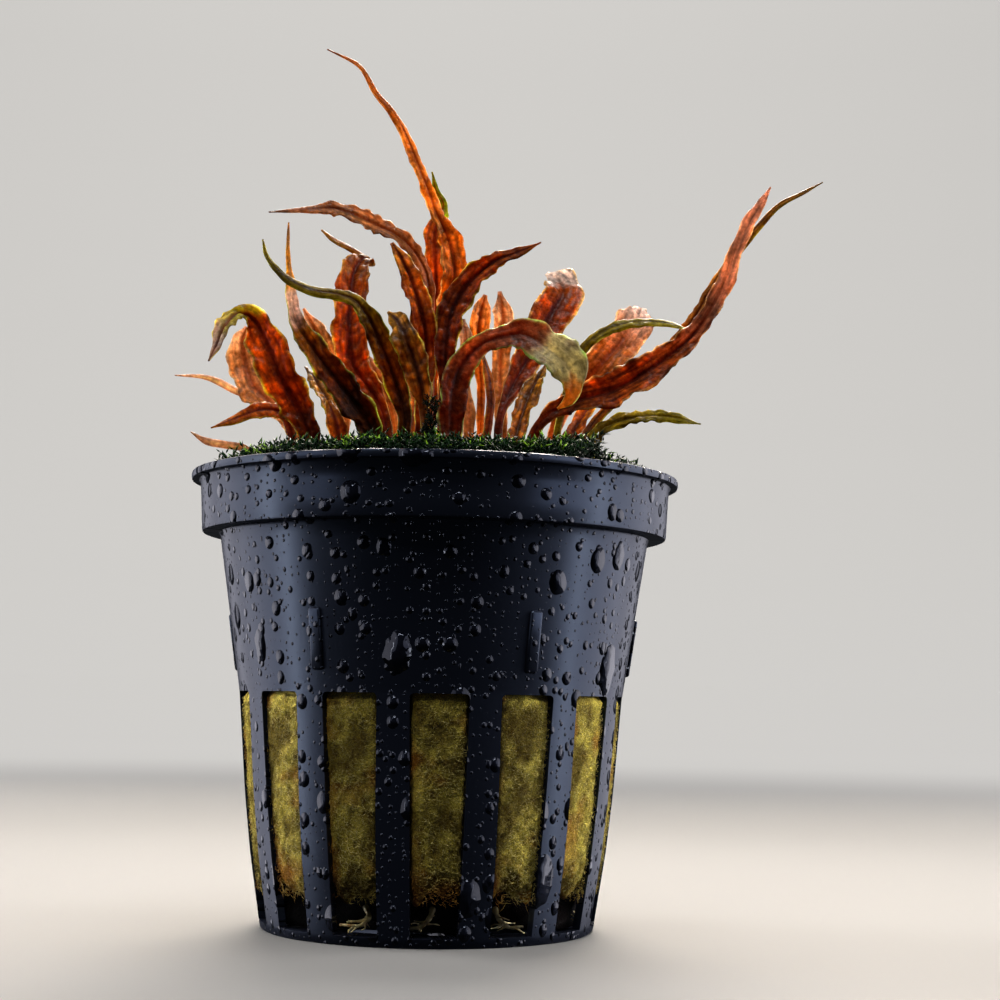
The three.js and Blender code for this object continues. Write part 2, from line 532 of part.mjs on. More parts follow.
function closedGeometry(vertices, faces) {
  const geometry = new THREE.BufferGeometry();
  geometry.setAttribute("position", new THREE.BufferAttribute(new Float32Array(vertices), 3));
  geometry.setIndex(faces);
  return geometry;
}

function rootGeometry(points) {
  const curve = new THREE.CatmullRomCurve3(points.map((point) => new THREE.Vector3(...point)));
  const section = new THREE.Shape();
  section.absarc(0, 0, ROOT_RADIUS, 0, 2 * Math.PI, false);
  return new THREE.ExtrudeGeometry(section, { extrudePath: curve, steps: 7, curveSegments: 3 });
}

// Value of a list of numbers at a place between 0 (first) and 1 (last)
function along(values, place) {
  const at = place * (values.length - 1);
  const low = Math.min(Math.floor(at), values.length - 2);
  const part = at - low;
  const eased = part * part * (3 - 2 * part);
  return values[low] * (1 - eased) + values[low + 1] * eased;
}

function leafStations(leaf) {
  const start = [...leaf.root, LEAF_ROOT_Z];
  const points = [start, ...leaf.route].map((point) => new THREE.Vector3(...point));
  const curve = new THREE.CatmullRomCurve3(points, false, "centripetal");
  const length = curve.getLength();
  const count = Math.max(5, Math.round(length / STATION_SPACING));
  const stations = [];
  for (let k = 0; k <= count; k += 1) {
    const place = curve.getUtoTmapping(k / count, 0);
    const centre = curve.getPoint(place);
    const forward = curve.getTangent(place).normalize();
    const faceNow = new THREE.Vector3(...leaf.face[0]).lerp(new THREE.Vector3(...leaf.face[1]), k / count);
    const across = new THREE.Vector3().crossVectors(forward, faceNow).normalize();
    const facing = new THREE.Vector3().crossVectors(across, forward).normalize();
    const width = along(leaf.width, place);
    stations.push({ centre, across, facing, width, distance: (length * k) / count, part: k / count });
  }
  return stations;
}

// A blade of diamond section: two margins, a midrib groove above and a keel below.
// grow widens and thickens it, for the socket that the leaf stands in.
function bladeGeometry(leaf, stations, grow) {
  const vertices = [];
  stations.forEach(({ centre, across, facing, width, distance, part }) => {
    const bladeness = Math.min(1, Math.max(0, (width - 1) / 1.2));
    const body = PETIOLE_THICKNESS + (BLADE_THICKNESS - PETIOLE_THICKNESS) * bladeness;
    const thinned = Math.min(body, body * 3.5 * (1 - part) + TIP_THICKNESS);
    const thickness = thinned + 2 * grow;
    const half = width / 2 + grow;
    const raise = leaf.fold * bladeness * width * 0.5;
    const wave = leaf.ruffle * bladeness;
    const left = raise + wave * Math.sin((2 * Math.PI * distance) / RUFFLE_LENGTH);
    const right = raise + wave * Math.sin((2 * Math.PI * distance) / RUFFLE_LENGTH + 2.2);
    const corner = (side, lift) => {
      const point = centre.clone().addScaledVector(across, side).addScaledVector(facing, lift);
      vertices.push(point.x, point.y, point.z);
    };
    corner(-half, left);
    corner(0, thickness / 2);
    corner(half, right);
    corner(0, -thickness / 2);
  });
  // The diagonals below run the same way as those above, so that a twisted blade stays apart
  const faces = [];
  for (let k = 0; k + 1 < stations.length; k += 1) {
    const [left, top, right, bottom] = [4 * k, 4 * k + 1, 4 * k + 2, 4 * k + 3];
    faces.push(left, top, top + 4, left, top + 4, left + 4);
    faces.push(top, right, right + 4, top, right + 4, top + 4);
    faces.push(right, bottom, right + 4, bottom, bottom + 4, right + 4);
    faces.push(bottom, left, bottom + 4, left, left + 4, bottom + 4);
  }
  const last = 4 * (stations.length - 1);
  faces.push(0, 3, 1, 1, 3, 2, last, last + 1, last + 3, last + 1, last + 2, last + 3);
  return closedGeometry(vertices, faces);
}

// The space that a leaf's foot takes up in the moss, a little deeper and wider than the foot
function socketGeometry(leaf, stations) {
  const standing = stations.filter(({ centre }, k) => k < 2 || (k < 4 && centre.z < SOCKET_TOP));
  const foot = standing[0];
  const below = { ...foot, centre: foot.centre.clone().setZ(LEAF_ROOT_Z - SOCKET_GAP) };
  return bladeGeometry(leaf, [below, ...standing], SOCKET_GAP);
}

const plant = new THREE.Group();
plant.add(namedMesh("pot", potGeometry(), plastic));
plant.add(namedMesh("rockwool", woolGeometry(), wool));

let moss = toManifold(mossGeometry());
for (const leaf of LEAVES) {
  const stations = leafStations(leaf);
  plant.add(namedMesh(leaf.name, bladeGeometry(leaf, stations, 0), foliage[leaf.tint]));
  moss = moss.subtract(toManifold(socketGeometry(leaf, stations)));
}
const [cushion] = moss.decompose().sort((a, b) => b.volume() - a.volume());
plant.add(namedMesh("moss", fromManifold(cushion), mossGreen));

ROOTS.forEach((points, k) => {
  plant.add(namedMesh(`root_${k + 1}`, rootGeometry(points), rootTan));
});

export default plant;
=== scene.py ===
"""The looks of a brown-leaved water trumpet in its slotted black pot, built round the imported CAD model.

Every piece is a mesh in the frame of the CAD model, with +Z up and the front at -Y. Sizes in this file
are in millimetres unless a comment says otherwise, and are turned to metres where a mesh is made.
"""

from __future__ import annotations

import logging
import math
from collections.abc import Callable
from dataclasses import dataclass
from enum import Enum
from functools import partial

import bpy
import numpy as np
from mathutils import Matrix, Vector

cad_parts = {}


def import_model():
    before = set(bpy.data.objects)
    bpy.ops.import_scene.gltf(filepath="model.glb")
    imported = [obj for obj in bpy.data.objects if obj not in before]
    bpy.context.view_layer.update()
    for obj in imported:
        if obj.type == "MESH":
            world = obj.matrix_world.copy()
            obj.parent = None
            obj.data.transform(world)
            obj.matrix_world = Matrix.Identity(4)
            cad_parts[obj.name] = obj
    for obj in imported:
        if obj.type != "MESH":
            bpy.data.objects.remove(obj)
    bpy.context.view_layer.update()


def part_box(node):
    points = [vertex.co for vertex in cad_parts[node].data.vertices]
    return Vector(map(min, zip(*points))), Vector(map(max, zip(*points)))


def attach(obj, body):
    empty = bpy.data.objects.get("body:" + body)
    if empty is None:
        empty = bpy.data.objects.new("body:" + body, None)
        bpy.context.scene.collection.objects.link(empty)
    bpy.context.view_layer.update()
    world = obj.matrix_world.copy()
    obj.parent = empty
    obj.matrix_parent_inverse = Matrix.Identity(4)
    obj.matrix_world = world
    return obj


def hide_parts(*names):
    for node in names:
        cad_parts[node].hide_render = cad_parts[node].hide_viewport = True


LOG = logging.getLogger("potted water trumpet")
MM = 0.001
FULL_TURN = 2 * math.pi
SEED = 20406

Triple = tuple[float, float, float]
Pair = tuple[float, float]
Mesh = tuple[np.ndarray, list]
Node = bpy.types.Node
Adder = Callable[..., Node]


def linear(code: str) -> tuple[float, float, float, float]:
    """Turns an sRGB hex colour into linear light.

    Args:
        code: the colour as "#rrggbb".

    Returns:
        Red, green, blue and an alpha of 1.
    """
    shares = [int(code[k : k + 2], 16) / 255 for k in (1, 3, 5)]
    light = [s / 12.92 if s <= 0.04045 else ((s + 0.055) / 1.055) ** 2.4 for s in shares]
    return light[0], light[1], light[2], 1.0


def per_metre(size: float) -> float:
    """The scale at which a texture repeats once in a size in millimetres."""
    return 1 / (size * MM)


def add_node(
    tree: bpy.types.NodeTree, kind: str, *inputs: object, named: dict | None = None, **settings: object
) -> Node:
    """Adds a shader node to a tree, sets it up and links it.

    Args:
        tree: the material's or the world's node tree.
        kind: the node's type without the leading ShaderNode.
        inputs: a number, a hex colour, or a node or socket to link, for each open socket in order.
        named: the same for sockets by name.
        settings: values of the node's own properties.

    Returns:
        The new node.
    """
    node = tree.nodes.new("ShaderNode" + kind)
    for name, value in settings.items():
        setattr(node, name, value)
    pairs = [*zip([socket for socket in node.inputs if socket.enabled], inputs)]
    pairs += [(node.inputs[name], value) for name, value in (named or {}).items()]
    for socket, value in pairs:
        if isinstance(value, Node):
            value = next(output for output in value.outputs if output.enabled)
        if isinstance(value, bpy.types.NodeSocket):
            tree.links.new(value, socket)
        else:
            socket.default_value = linear(value) if isinstance(value, str) else value
    return node


def blank_material(name: str) -> tuple[bpy.types.Material, Adder]:
    """Makes a material with an empty node tree.

    Args:
        name: the material's name.

    Returns:
        The material, and add_node for its tree.
    """
    material = bpy.data.materials.new(name)
    material.use_nodes = True
    material.node_tree.nodes.clear()
    return material, partial(add_node, material.node_tree)


def mesh_object(name: str, mesh: Mesh, attributes: dict[str, np.ndarray] | None = None) -> bpy.types.Object:
    """Makes a smooth-shaded object from vertices in millimetres.

    Args:
        name: the piece's name.
        mesh: its vertices and faces.
        attributes: numbers stored on the vertices, which the materials read by name.

    Returns:
        The object, linked to the scene.
    """
    points, faces = mesh
    data = bpy.data.meshes.new(name)
    data.from_pydata((points * MM).tolist(), [], faces)
    for label, values in (attributes or {}).items():
        data.attributes.new(label, "FLOAT", "POINT").data.foreach_set("value", values.astype(np.float32))
    data.validate(clean_customdata=False)
    data.shade_smooth()
    piece = bpy.data.objects.new(name, data)
    bpy.context.scene.collection.objects.link(piece)
    return piece


def hand_over(piece: bpy.types.Object, node: str, finish: bpy.types.Material) -> None:
    """Puts a piece in a CAD node's place.

    Args:
        piece: the detailed piece.
        node: the CAD node that it stands for.
        finish: the material that it wears.
    """
    piece.data.materials.append(finish)
    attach(piece, "root")
    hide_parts(node)
    LOG.info("%s: %d faces stand for %s", piece.name, len(piece.data.polygons), node)


def joined(*meshes: Mesh) -> Mesh:
    """Makes one mesh of several.

    Args:
        meshes: each one's vertices and faces.

    Returns:
        All vertices and all faces, in the order of the meshes.
    """
    starts = np.cumsum([0, *(len(points) for points, _ in meshes)]).tolist()
    faces = [[v + start for v in face] for start, (_, part) in zip(starts, meshes) for face in part]
    return np.vstack([points for points, _ in meshes]), faces


def turns(count: int) -> np.ndarray:
    """Evenly spaced angles round a full turn."""
    return FULL_TURN * np.arange(count) / count


def polar(angle: np.ndarray, radius: np.ndarray | float = 1.0, z: np.ndarray | float = 0.0) -> np.ndarray:
    """Points round the pot's axis, at angles from the front towards +X."""
    return np.stack(np.broadcast_arrays(radius * np.sin(angle), -radius * np.cos(angle), z), -1)


@dataclass(frozen=True)
class Holes:
    """Evenly spaced holes in a turned wall whose rings run along one side of it and back along the other.

    Attributes:
        count: how many holes there are.
        columns: how many columns of faces a hole takes.
        between: how many columns the wall between two holes takes.
        out: the ring at which the holes start on the way out.
        back: the ring at which they start on the way back.
        rings: how many rings further they end.
    """

    count: int
    columns: int
    between: int
    out: int
    back: int
    rings: int

    def angles(self, half: float) -> np.ndarray:
        """Sets out a ring of the wall.

        Args:
            half: half of a hole's width, as an angle.

        Returns:
            The directions of the ring's points, with the middle of the first hole at 0.
        """
        pitch = FULL_TURN / self.count
        hole = np.linspace(-half, half, self.columns, endpoint=False)
        rest = np.linspace(half, pitch - half, self.between, endpoint=False)
        return (turns(self.count)[:, None] + np.append(hole, rest)).ravel()

    def hollow(self) -> np.ndarray:
        """Whether each column of faces is in a hole."""
        return np.tile(np.arange(self.columns + self.between) < self.columns, self.count)

    def edges(self, grid: np.ndarray) -> list:
        """Makes the faces inside the holes, from one side of the wall to the other.

        Args:
            grid: the vertices' numbers, ring by ring.

        Returns:
            The faces of the holes' four edges.
        """
        blocks = grid.reshape(len(grid), self.count, -1)[..., : self.columns + 1]
        out = blocks[self.out : self.out + self.rings + 1]
        back = blocks[self.back : self.back + self.rings + 1][::-1]
        faces = []
        for a, b in (
            (out[0], back[0]), (back[-1], out[-1]),
            (back[..., 0].T, out[..., 0].T), (out[..., -1].T, back[..., -1].T),
        ):
            faces += np.stack([a[:, :-1], a[:, 1:], b[:, 1:], b[:, :-1]], -1).reshape(-1, 4).tolist()
        return faces


def loft(rings: list | np.ndarray, holes: Holes | None = None, closed: bool = False) -> Mesh:
    """Joins rings of points into a skin, which a fan closes at each end if it isn't closed on itself.

    Args:
        rings: rings with the same number of points.
        holes: the holes that go through the wall.
        closed: whether the last ring joins the first.

    Returns:
        The vertices, ring after ring and then the two ends' middles, and the faces.
    """
    rings = np.asarray(rings, float)
    count, around = rings.shape[:2]
    grid = np.arange(count * around).reshape(count, around)
    beside = np.roll(grid, -1, 1)
    quads = np.stack([grid, beside, np.roll(beside, -1, 0), np.roll(grid, -1, 0)], -1)
    kept = np.ones((count, around), bool)
    kept[-1] = closed
    if holes:
        for first in (holes.out, holes.back):
            kept[first : first + holes.rings, holes.hollow()] = False
    faces = quads[kept].tolist() + (holes.edges(grid) if holes else [])
    if closed:
        return rings.reshape(-1, 3), faces
    faces += [[grid.size, b, a] for a, b in zip(grid[0].tolist(), beside[0].tolist())]
    faces += [[grid.size + 1, a, b] for a, b in zip(grid[-1].tolist(), beside[-1].tolist())]
    return np.vstack([rings.reshape(-1, 3), rings[0].mean(0), rings[-1].mean(0)]), faces


def spindles(points: np.ndarray) -> Mesh:
    """Makes many slim closed spindles: a tip, a ring of three points and a second tip.

    Args:
        points: an array whose last two axes are a spindle's five points and x, y, z.

    Returns:
        The vertices and faces.
    """
    one = np.array([[0, 2, 1], [0, 3, 2], [0, 1, 3], [4, 1, 2], [4, 2, 3], [4, 3, 1]])
    first = 5 * np.arange(points.size // 15)[:, None, None]
    return points.reshape(-1, 3), (first + one).reshape(-1, 3).tolist()


def spline(points: np.ndarray, per_span: int = 40) -> np.ndarray:
    """Draws a centripetal Catmull-Rom curve.

    Args:
        points: the points that the curve passes through.
        per_span: how many points are made between two of them.

    Returns:
        The curve's points.
    """
    ends = np.vstack([2 * points[0] - points[1], points, 2 * points[-1] - points[-2]])
    knots = np.sqrt(np.linalg.norm(np.diff(ends, axis=0), axis=1))
    t = np.linspace(0, 1, per_span, endpoint=False)[:, None]
    spans = []
    for k in range(len(points) - 1):
        before, here, there, after = ends[k : k + 4]
        a, b, c = knots[k : k + 3]
        leave = ((here - before) / a - (there - before) / (a + b) + (there - here) / b) * b
        arrive = ((there - here) / b - (after - here) / (b + c) + (after - there) / c) * b
        square = 3 * (there - here) - 2 * leave - arrive
        cube = 2 * (here - there) + leave + arrive
        spans.append(here + leave * t + square * t**2 + cube * t**3)
    return np.vstack([*spans, points[-1:]])


def unit(rows: np.ndarray) -> np.ndarray:
    """Rows scaled to a length of 1."""
    return rows / np.maximum(np.linalg.norm(rows, axis=-1, keepdims=True), 1e-9)


def smooth(part: np.ndarray) -> np.ndarray:
    """A step from 0 to 1 that starts and ends softly."""
    return part * part * (3 - 2 * part)


def eased(values: tuple[float, ...], place: np.ndarray) -> np.ndarray:
    """Reads a list of numbers with soft steps between them.

    Args:
        values: the numbers.
        place: where to read, from 0 at the first to 1 at the last.

    Returns:
        The number at each place.
    """
    at = place * (len(values) - 1)
    low = np.minimum(at.astype(int), len(values) - 2)
    soft = smooth(at - low)
    table = np.array(values, float)
    return table[low] * (1 - soft) + table[low + 1] * soft


# Finishes


@dataclass(frozen=True)
class BeadLayer:
    """One size of round bump on the wet plastic.

    Attributes:
        spacing: how far apart they are.
        radius: the radius of the largest.
        stretch: their width as a part of their height.
        bare: the part of the places that stays bare.
        wobble: how far their outline strays from an oval.
    """

    spacing: float
    radius: float
    stretch: float
    bare: float
    wobble: float

    def beads(self, add: Adder, wall: Node, noise: Node) -> Node:
        """Adds the nodes of this size of bead.

        Args:
            add: adds a node to the pot's material.
            wall: the place on the wall.
            noise: a noise round 0.

        Returns:
            The node whose output is the bead's height in millimetres.
        """
        shift = add("VectorMath", noise, self.wobble * 4 * MM, operation="SCALE")
        moved = add("VectorMath", wall, shift)
        drawn = add("VectorMath", moved, (1.0, self.stretch, 1.0), operation="MULTIPLY")
        cell = add(
            "TexVoronoi", drawn, per_metre(self.spacing), named={"Randomness": 0.65}, voronoi_dimensions="2D"
        )
        lot = add("SeparateColor", cell.outputs["Color"])
        radius = add("MapRange", lot, self.bare, 1.0, 0.0, self.radius / self.spacing)
        ratio = add("Math", cell, radius, operation="DIVIDE")
        square = add("Math", ratio, ratio, operation="MULTIPLY")
        inside = add("Math", 1.0, square, operation="SUBTRACT", use_clamp=True)
        dome = add("Math", inside, 0.7, operation="POWER")
        tall = add("Math", radius, 0.7 * self.spacing, operation="MULTIPLY")
        return add("Math", dome, tall, operation="MULTIPLY")


@dataclass(frozen=True)
class MouldedPolypropylene:
    """Black polypropylene, injection moulded with a satin skin and kept wet.

    The eye gets a near black wall that mirrors the lamps at its sides as soft violet-grey bands. Round
    beaded bumps, smoother than the skin, break the bands up and carry one small glint each. The skin's
    own grain is too fine to show and is drawn as coarse as it needs.
    """

    pigment: str = "#13151e"
    gloss_tint: str = "#bcd6ff"
    bead_tint: str = "#7e869a"
    skin_roughness: float = 0.28
    bead_roughness: float = 0.05
    bead_edge: float = 0.04
    ior: float = 1.49
    skin_grain: float = 0.5
    skin_depth: float = 0.003
    wobble_length: float = 1.7
    mean_radius: float = 23.0
    layers: tuple[BeadLayer, ...] = (
        BeadLayer(spacing=0.85, radius=0.2, stretch=1.0, bare=0.35, wobble=0.01),
        BeadLayer(spacing=1.7, radius=0.46, stretch=1.0, bare=0.2, wobble=0.03),
        BeadLayer(spacing=2.9, radius=0.8, stretch=0.95, bare=0.05, wobble=0.06),
        BeadLayer(spacing=5.2, radius=1.25, stretch=0.85, bare=0.2, wobble=0.12),
        BeadLayer(spacing=9.0, radius=1.9, stretch=0.7, bare=0.5, wobble=0.3),
    )

    def material(self) -> bpy.types.Material:
        """Makes the pot's material.

        Returns:
            The material, with the beads as bump and as a change of roughness and tint.
        """
        material, add = blank_material("black moulded polypropylene")
        place = add("TexCoord").outputs["Object"]
        x, y, z = add("SeparateXYZ", place).outputs
        turn = add("Math", x, add("Math", y, -1.0, operation="MULTIPLY"), operation="ARCTAN2")
        wall = add("CombineXYZ", add("Math", turn, self.mean_radius * MM, operation="MULTIPLY"), z)
        noise = add("TexNoise", place, per_metre(self.wobble_length), 1.0).outputs["Color"]
        uneven = add("VectorMath", noise, (0.5, 0.5, 0.5), operation="SUBTRACT")
        height = 0.0
        for layer in self.layers:
            height = add("Math", height, layer.beads(add, wall, uneven), operation="MAXIMUM")
        grain = add("TexNoise", place, per_metre(self.skin_grain), 2.0)
        relief = add("Math", grain, self.skin_depth, height, operation="MULTIPLY_ADD")
        beaded = add("MapRange", height, 0.0, self.bead_edge)
        tint = add("Mix", beaded, self.gloss_tint, self.bead_tint, data_type="RGBA")
        shader = add("BsdfPrincipled", named={
            "Base Color": self.pigment,
            "Roughness": add("MapRange", beaded, 0.0, 1.0, self.skin_roughness, self.bead_roughness),
            "IOR": self.ior,
            "Specular Tint": tint,
            "Normal": add("Bump", named={"Height": relief, "Distance": MM}),
        })
        add("OutputMaterial", shader)
        return material


@dataclass(frozen=True)
class SpunRockWool:
    """Spun rock wool: matted mineral fibre, stained by the water that it holds.

    The eye gets a dull yellow-olive felt with paler fibres on top and brown stains low down. Along the
    left edge of each slot and in its lower corner the felt is darker brown, partly stain and partly painted
    shade from the rib. Above the slots it is near black, and so is the wad under the plug, a painted shade
    for the dark gap inside the pot. The real fibres are a few thousandths of a millimetre thick, too fine to
    show, so the fuzz of the felt is drawn coarser.
    """

    felt: str = "#c8b448"
    pale: str = "#f0de88"
    dark: str = "#5c480e"
    stain: str = "#a05c10"
    # Near black: painted shade on the wad and in the slots' lower corners; the plug above the slots takes it
    # too.
    rot_and_shade: str = "#050201"
    clump: float = 1.3
    patch: float = 5.0
    fuzz: float = 0.22
    damp_heights: Pair = (11.0, 4.5)

    def material(self) -> bpy.types.Material:
        """Makes the rock wool's material.

        Returns:
            The material, whose colour follows clumps, fibres, stains and rot.
        """
        material, add = blank_material("spun rock wool")
        place = add("TexCoord").outputs["Object"]
        clumps = add("TexNoise", place, per_metre(self.clump), 4.0)
        patches = add("TexNoise", place, per_metre(self.patch), 2.0)
        fuzz = add("TexNoise", place, per_metre(self.fuzz), 3.0, named={"Distortion": 1.5})
        fibre, edge, rot_and_shade = (
            add("Attribute", attribute_name=label).outputs["Fac"] for label in ("fibre", "edge", "rot_and_shade")
        )
        # Painted shade, with random patches: the felt darkens towards the dark tone along the left edge of
        # each slot, where the rib shades it.
        patches_and_edge_shade = add("Math", edge, -0.14, patches, operation="MULTIPLY_ADD")
        patches_and_edge_shade = add("MapRange", patches_and_edge_shade, 0.5, 0.36, 0.0, 0.8)
        damp_from, damp_to = (height * MM for height in self.damp_heights)
        low = add("MapRange", add("SeparateXYZ", place).outputs["Z"], damp_from, damp_to, 0.0, 0.2)
        # Stain low down and in patches, with more of it along the left edge of each slot, where it partly
        # stands for the rib's shade.
        wet = add("Math", edge, 0.12, add("Math", patches, low), operation="MULTIPLY_ADD")
        wet = add("MapRange", wet, 0.58, 0.78, 0.0, 0.8)
        colour = add("Mix", add("MapRange", clumps, 0.3, 0.6), self.dark, self.felt, data_type="RGBA")
        # The last mix is to a near-black tint: painted shade on the wad and in the slots' lower corners, and
        # darker above the slots.
        for share, tint in ((fibre, self.pale), (patches_and_edge_shade, self.dark), (wet, self.stain), (rot_and_shade, self.rot_and_shade)):
            colour = add("Mix", share, colour, tint, data_type="RGBA")
        fleck = add("MapRange", fuzz, 0.38, 0.62, 0.5, 1.4)
        shader = add("BsdfPrincipled", named={
            "Base Color": add("VectorMath", colour, fleck, operation="SCALE"),
            "Roughness": 0.8,
            "Specular IOR Level": 0.1,
            "Normal": add("Bump", named={"Height": fuzz, "Distance": 0.3 * MM}),
        })
        add("OutputMaterial", shader)
        return material


@dataclass(frozen=True)
class LivingMoss:
    """Living moss: tiny pointed leaves, near black between the shoots as painted shade, and yellow-green
    where they grow.

    The eye gets a deep green fuzz with bright tips and small wet glints.
    """

    shade: str = "#010602"
    leaf: str = "#0d3205"
    growth: str = "#7eaa22"
    tuft: float = 2.2
    glow: float = 0.2

    def material(self) -> bpy.types.Material:
        """Makes the moss's material.

        Returns:
            The material, which brightens towards each shoot's tip.
        """
        material, add = blank_material("living moss")
        tufts = add("TexNoise", add("TexCoord").outputs["Object"], per_metre(self.tuft), 3.0)
        height = add("Attribute", attribute_name="shoot").outputs["Fac"]
        young = add("MapRange", add("Math", tufts, height, operation="MULTIPLY"), 0.26, 0.46)
        # Painted shade: the near-black shade colour at the shoots' feet and on the cushion stands for the
        # shade between the shoots; the yellow-green at the tips is the young growth's own colour.
        colour = add("Mix", height, self.shade, self.leaf, data_type="RGBA")
        colour = add("Mix", young, colour, self.growth, data_type="RGBA")
        skin = add("BsdfPrincipled", named={
            "Base Color": colour, "Roughness": 0.3, "Specular IOR Level": 0.09
        })
        add("OutputMaterial", add("MixShader", self.glow, skin, add("BsdfTranslucent", colour)))
        return material


@dataclass(frozen=True)
class RootSkin:
    """The skin of young roots: smooth, waxy and tan, browner where it is older.

    The eye gets pale threads with soft brown mottling.
    """

    young: str = "#dccc90"
    old: str = "#7a5a28"
    patch: float = 1.2

    def material(self) -> bpy.types.Material:
        """Makes the roots' material.

        Returns:
            The material, mottled along the roots' length.
        """
        material, add = blank_material("root skin")
        mottle = add("TexNoise", add("TexCoord").outputs["Object"], per_metre(self.patch), 3.0)
        colour = add("Mix", add("MapRange", mottle, 0.4, 0.65), self.young, self.old, data_type="RGBA")
        bump = add("Bump", named={"Height": mottle, "Distance": 0.08 * MM})
        shader = add("BsdfPrincipled", named={"Base Color": colour, "Roughness": 0.4, "Normal": bump})
        add("OutputMaterial", shader)
        return material


@dataclass(frozen=True)
class LeafTissue:
    """Submerged leaf tissue: a thin wet blade that lamps behind it light up.

    The eye gets a dark foot, a glowing middle whose blisters carry a painted highlight on their crests,
    darker valleys between them that are partly the veins' own colour and partly painted shade, a dark
    band along the midrib and a thin pale margin. Its cells are too fine to show and are drawn as a grain
    as coarse as it needs.

    Attributes:
        hue: the record's material slot, without the word leaf. It is not used.
        stops: the blade's colours, each with its place from the root at 0 to the tip at 1.
        margin: the colour of the thin rim.
        midrib: the colour of the midrib, and of the valleys between the blisters, which are partly painted
            shade.
        glow: how much of the light goes through the blade.
        streaks: how strongly the blade is streaked along its length.
        rib_reach: how far from root to tip the dark midrib and valleys go before they fade.
        patch: the size of its lighter and darker patches.
        cell: the size of its grain.
        cell_depth: how far the grain stands out.
        streak_width: how wide its streaks are.
        streak_pull: how much slower the streaks change along the blade than across it.
    """

    hue: str
    stops: tuple[tuple[float, str], ...]
    margin: str
    midrib: str
    glow: float = 0.6
    streaks: float = 0.35
    rib_reach: float = 1.3
    patch: float = 2.6
    cell: float = 0.5
    cell_depth: float = 0.2
    streak_width: float = 0.45
    streak_pull: float = 0.12

    def ramp(self, add: Adder, along: Node) -> Node:
        """Adds the ramp of the colours along the blade.

        Args:
            add: adds a node to the leaf's material.
            along: the place from root to tip.

        Returns:
            The ramp.
        """
        ramp = add("ValToRGB", along)
        elements = ramp.color_ramp.elements
        for element, (position, colour) in zip(elements, (self.stops[0], self.stops[-1])):
            element.position, element.color = position, linear(colour)
        for position, colour in self.stops[1:-1]:
            elements.new(position).color = linear(colour)
        return ramp

    def material(self, name: str) -> bpy.types.Material:
        """Makes a leaf's material.

        Args:
            name: the leaf's name.

        Returns:
            A wet skin mixed with light that passes through the blade.
        """
        material, add = blank_material(f"leaf tissue of {name}")
        place = add("TexCoord").outputs["Object"]
        along, across, blister, run, off = (
            add("Attribute", attribute_name=label).outputs["Fac"]
            for label in ("along", "across", "blister", "run", "off")
        )
        mottle = add("TexNoise", place, per_metre(self.patch), 4.0)
        cells = add("TexNoise", place, per_metre(self.cell), 3.0)
        streaked = add("CombineXYZ", add("Math", run, self.streak_pull, operation="MULTIPLY"), off)
        grain = add("TexNoise", streaked, 1 / self.streak_width, 3.0)
        spread = add("Math", mottle, 0.3, -0.15, operation="MULTIPLY_ADD")
        colour = self.ramp(add, add("Math", along, spread))
        soft = {"interpolation_type": "SMOOTHSTEP"}
        ribbed = add("MapRange", along, self.rib_reach - 0.15, self.rib_reach + 0.05, 1.0, 0.08, **soft)
        # Darker valleys between the blisters, tinted with the midrib colour: partly the veins' own colour,
        # partly painted shade.
        valley_vein_and_shade = add("MapRange", blister, 0.0, 0.6, 0.55, 0.0)
        band = add("MapRange", across, 0.04, 0.42, 0.88, 0.0, **soft)
        rim = add("MapRange", across, 0.8, 0.98, **soft)
        patchy = add("MapRange", mottle, 0.4, 0.58)
        for share, where, tint in (
            (valley_vein_and_shade, ribbed, self.midrib), (band, ribbed, self.midrib), (rim, patchy, self.margin)
        ):
            amount = add("Math", share, where, operation="MULTIPLY")
            colour = add("Mix", amount, colour, tint, data_type="RGBA")
        for source, low, high, dark, light in (
            (cells, 0.32, 0.68, 0.6, 1.35),
            (grain, 0.35, 0.65, 1 - self.streaks, 1 + self.streaks),
            (mottle, 0.35, 0.62, 0.7, 1.2),
            # Painted highlight: the blisters' crests are brightened as if light fell on them.
            (blister, 0.3, 1.0, 1.08, 1.42),
        ):
            tone = add("MapRange", source, low, high, dark, light)
            colour = add("VectorMath", colour, tone, operation="SCALE")
        bump = add("Bump", named={"Height": cells, "Distance": self.cell_depth * MM, "Strength": 0.8})
        skin = add("BsdfPrincipled", named={
            "Base Color": colour, "Roughness": 0.3, "IOR": 1.36, "Specular IOR Level": 0.25, "Normal": bump
        })
        add("OutputMaterial", add("MixShader", self.glow, skin, add("BsdfTranslucent", colour, bump)))
        return material


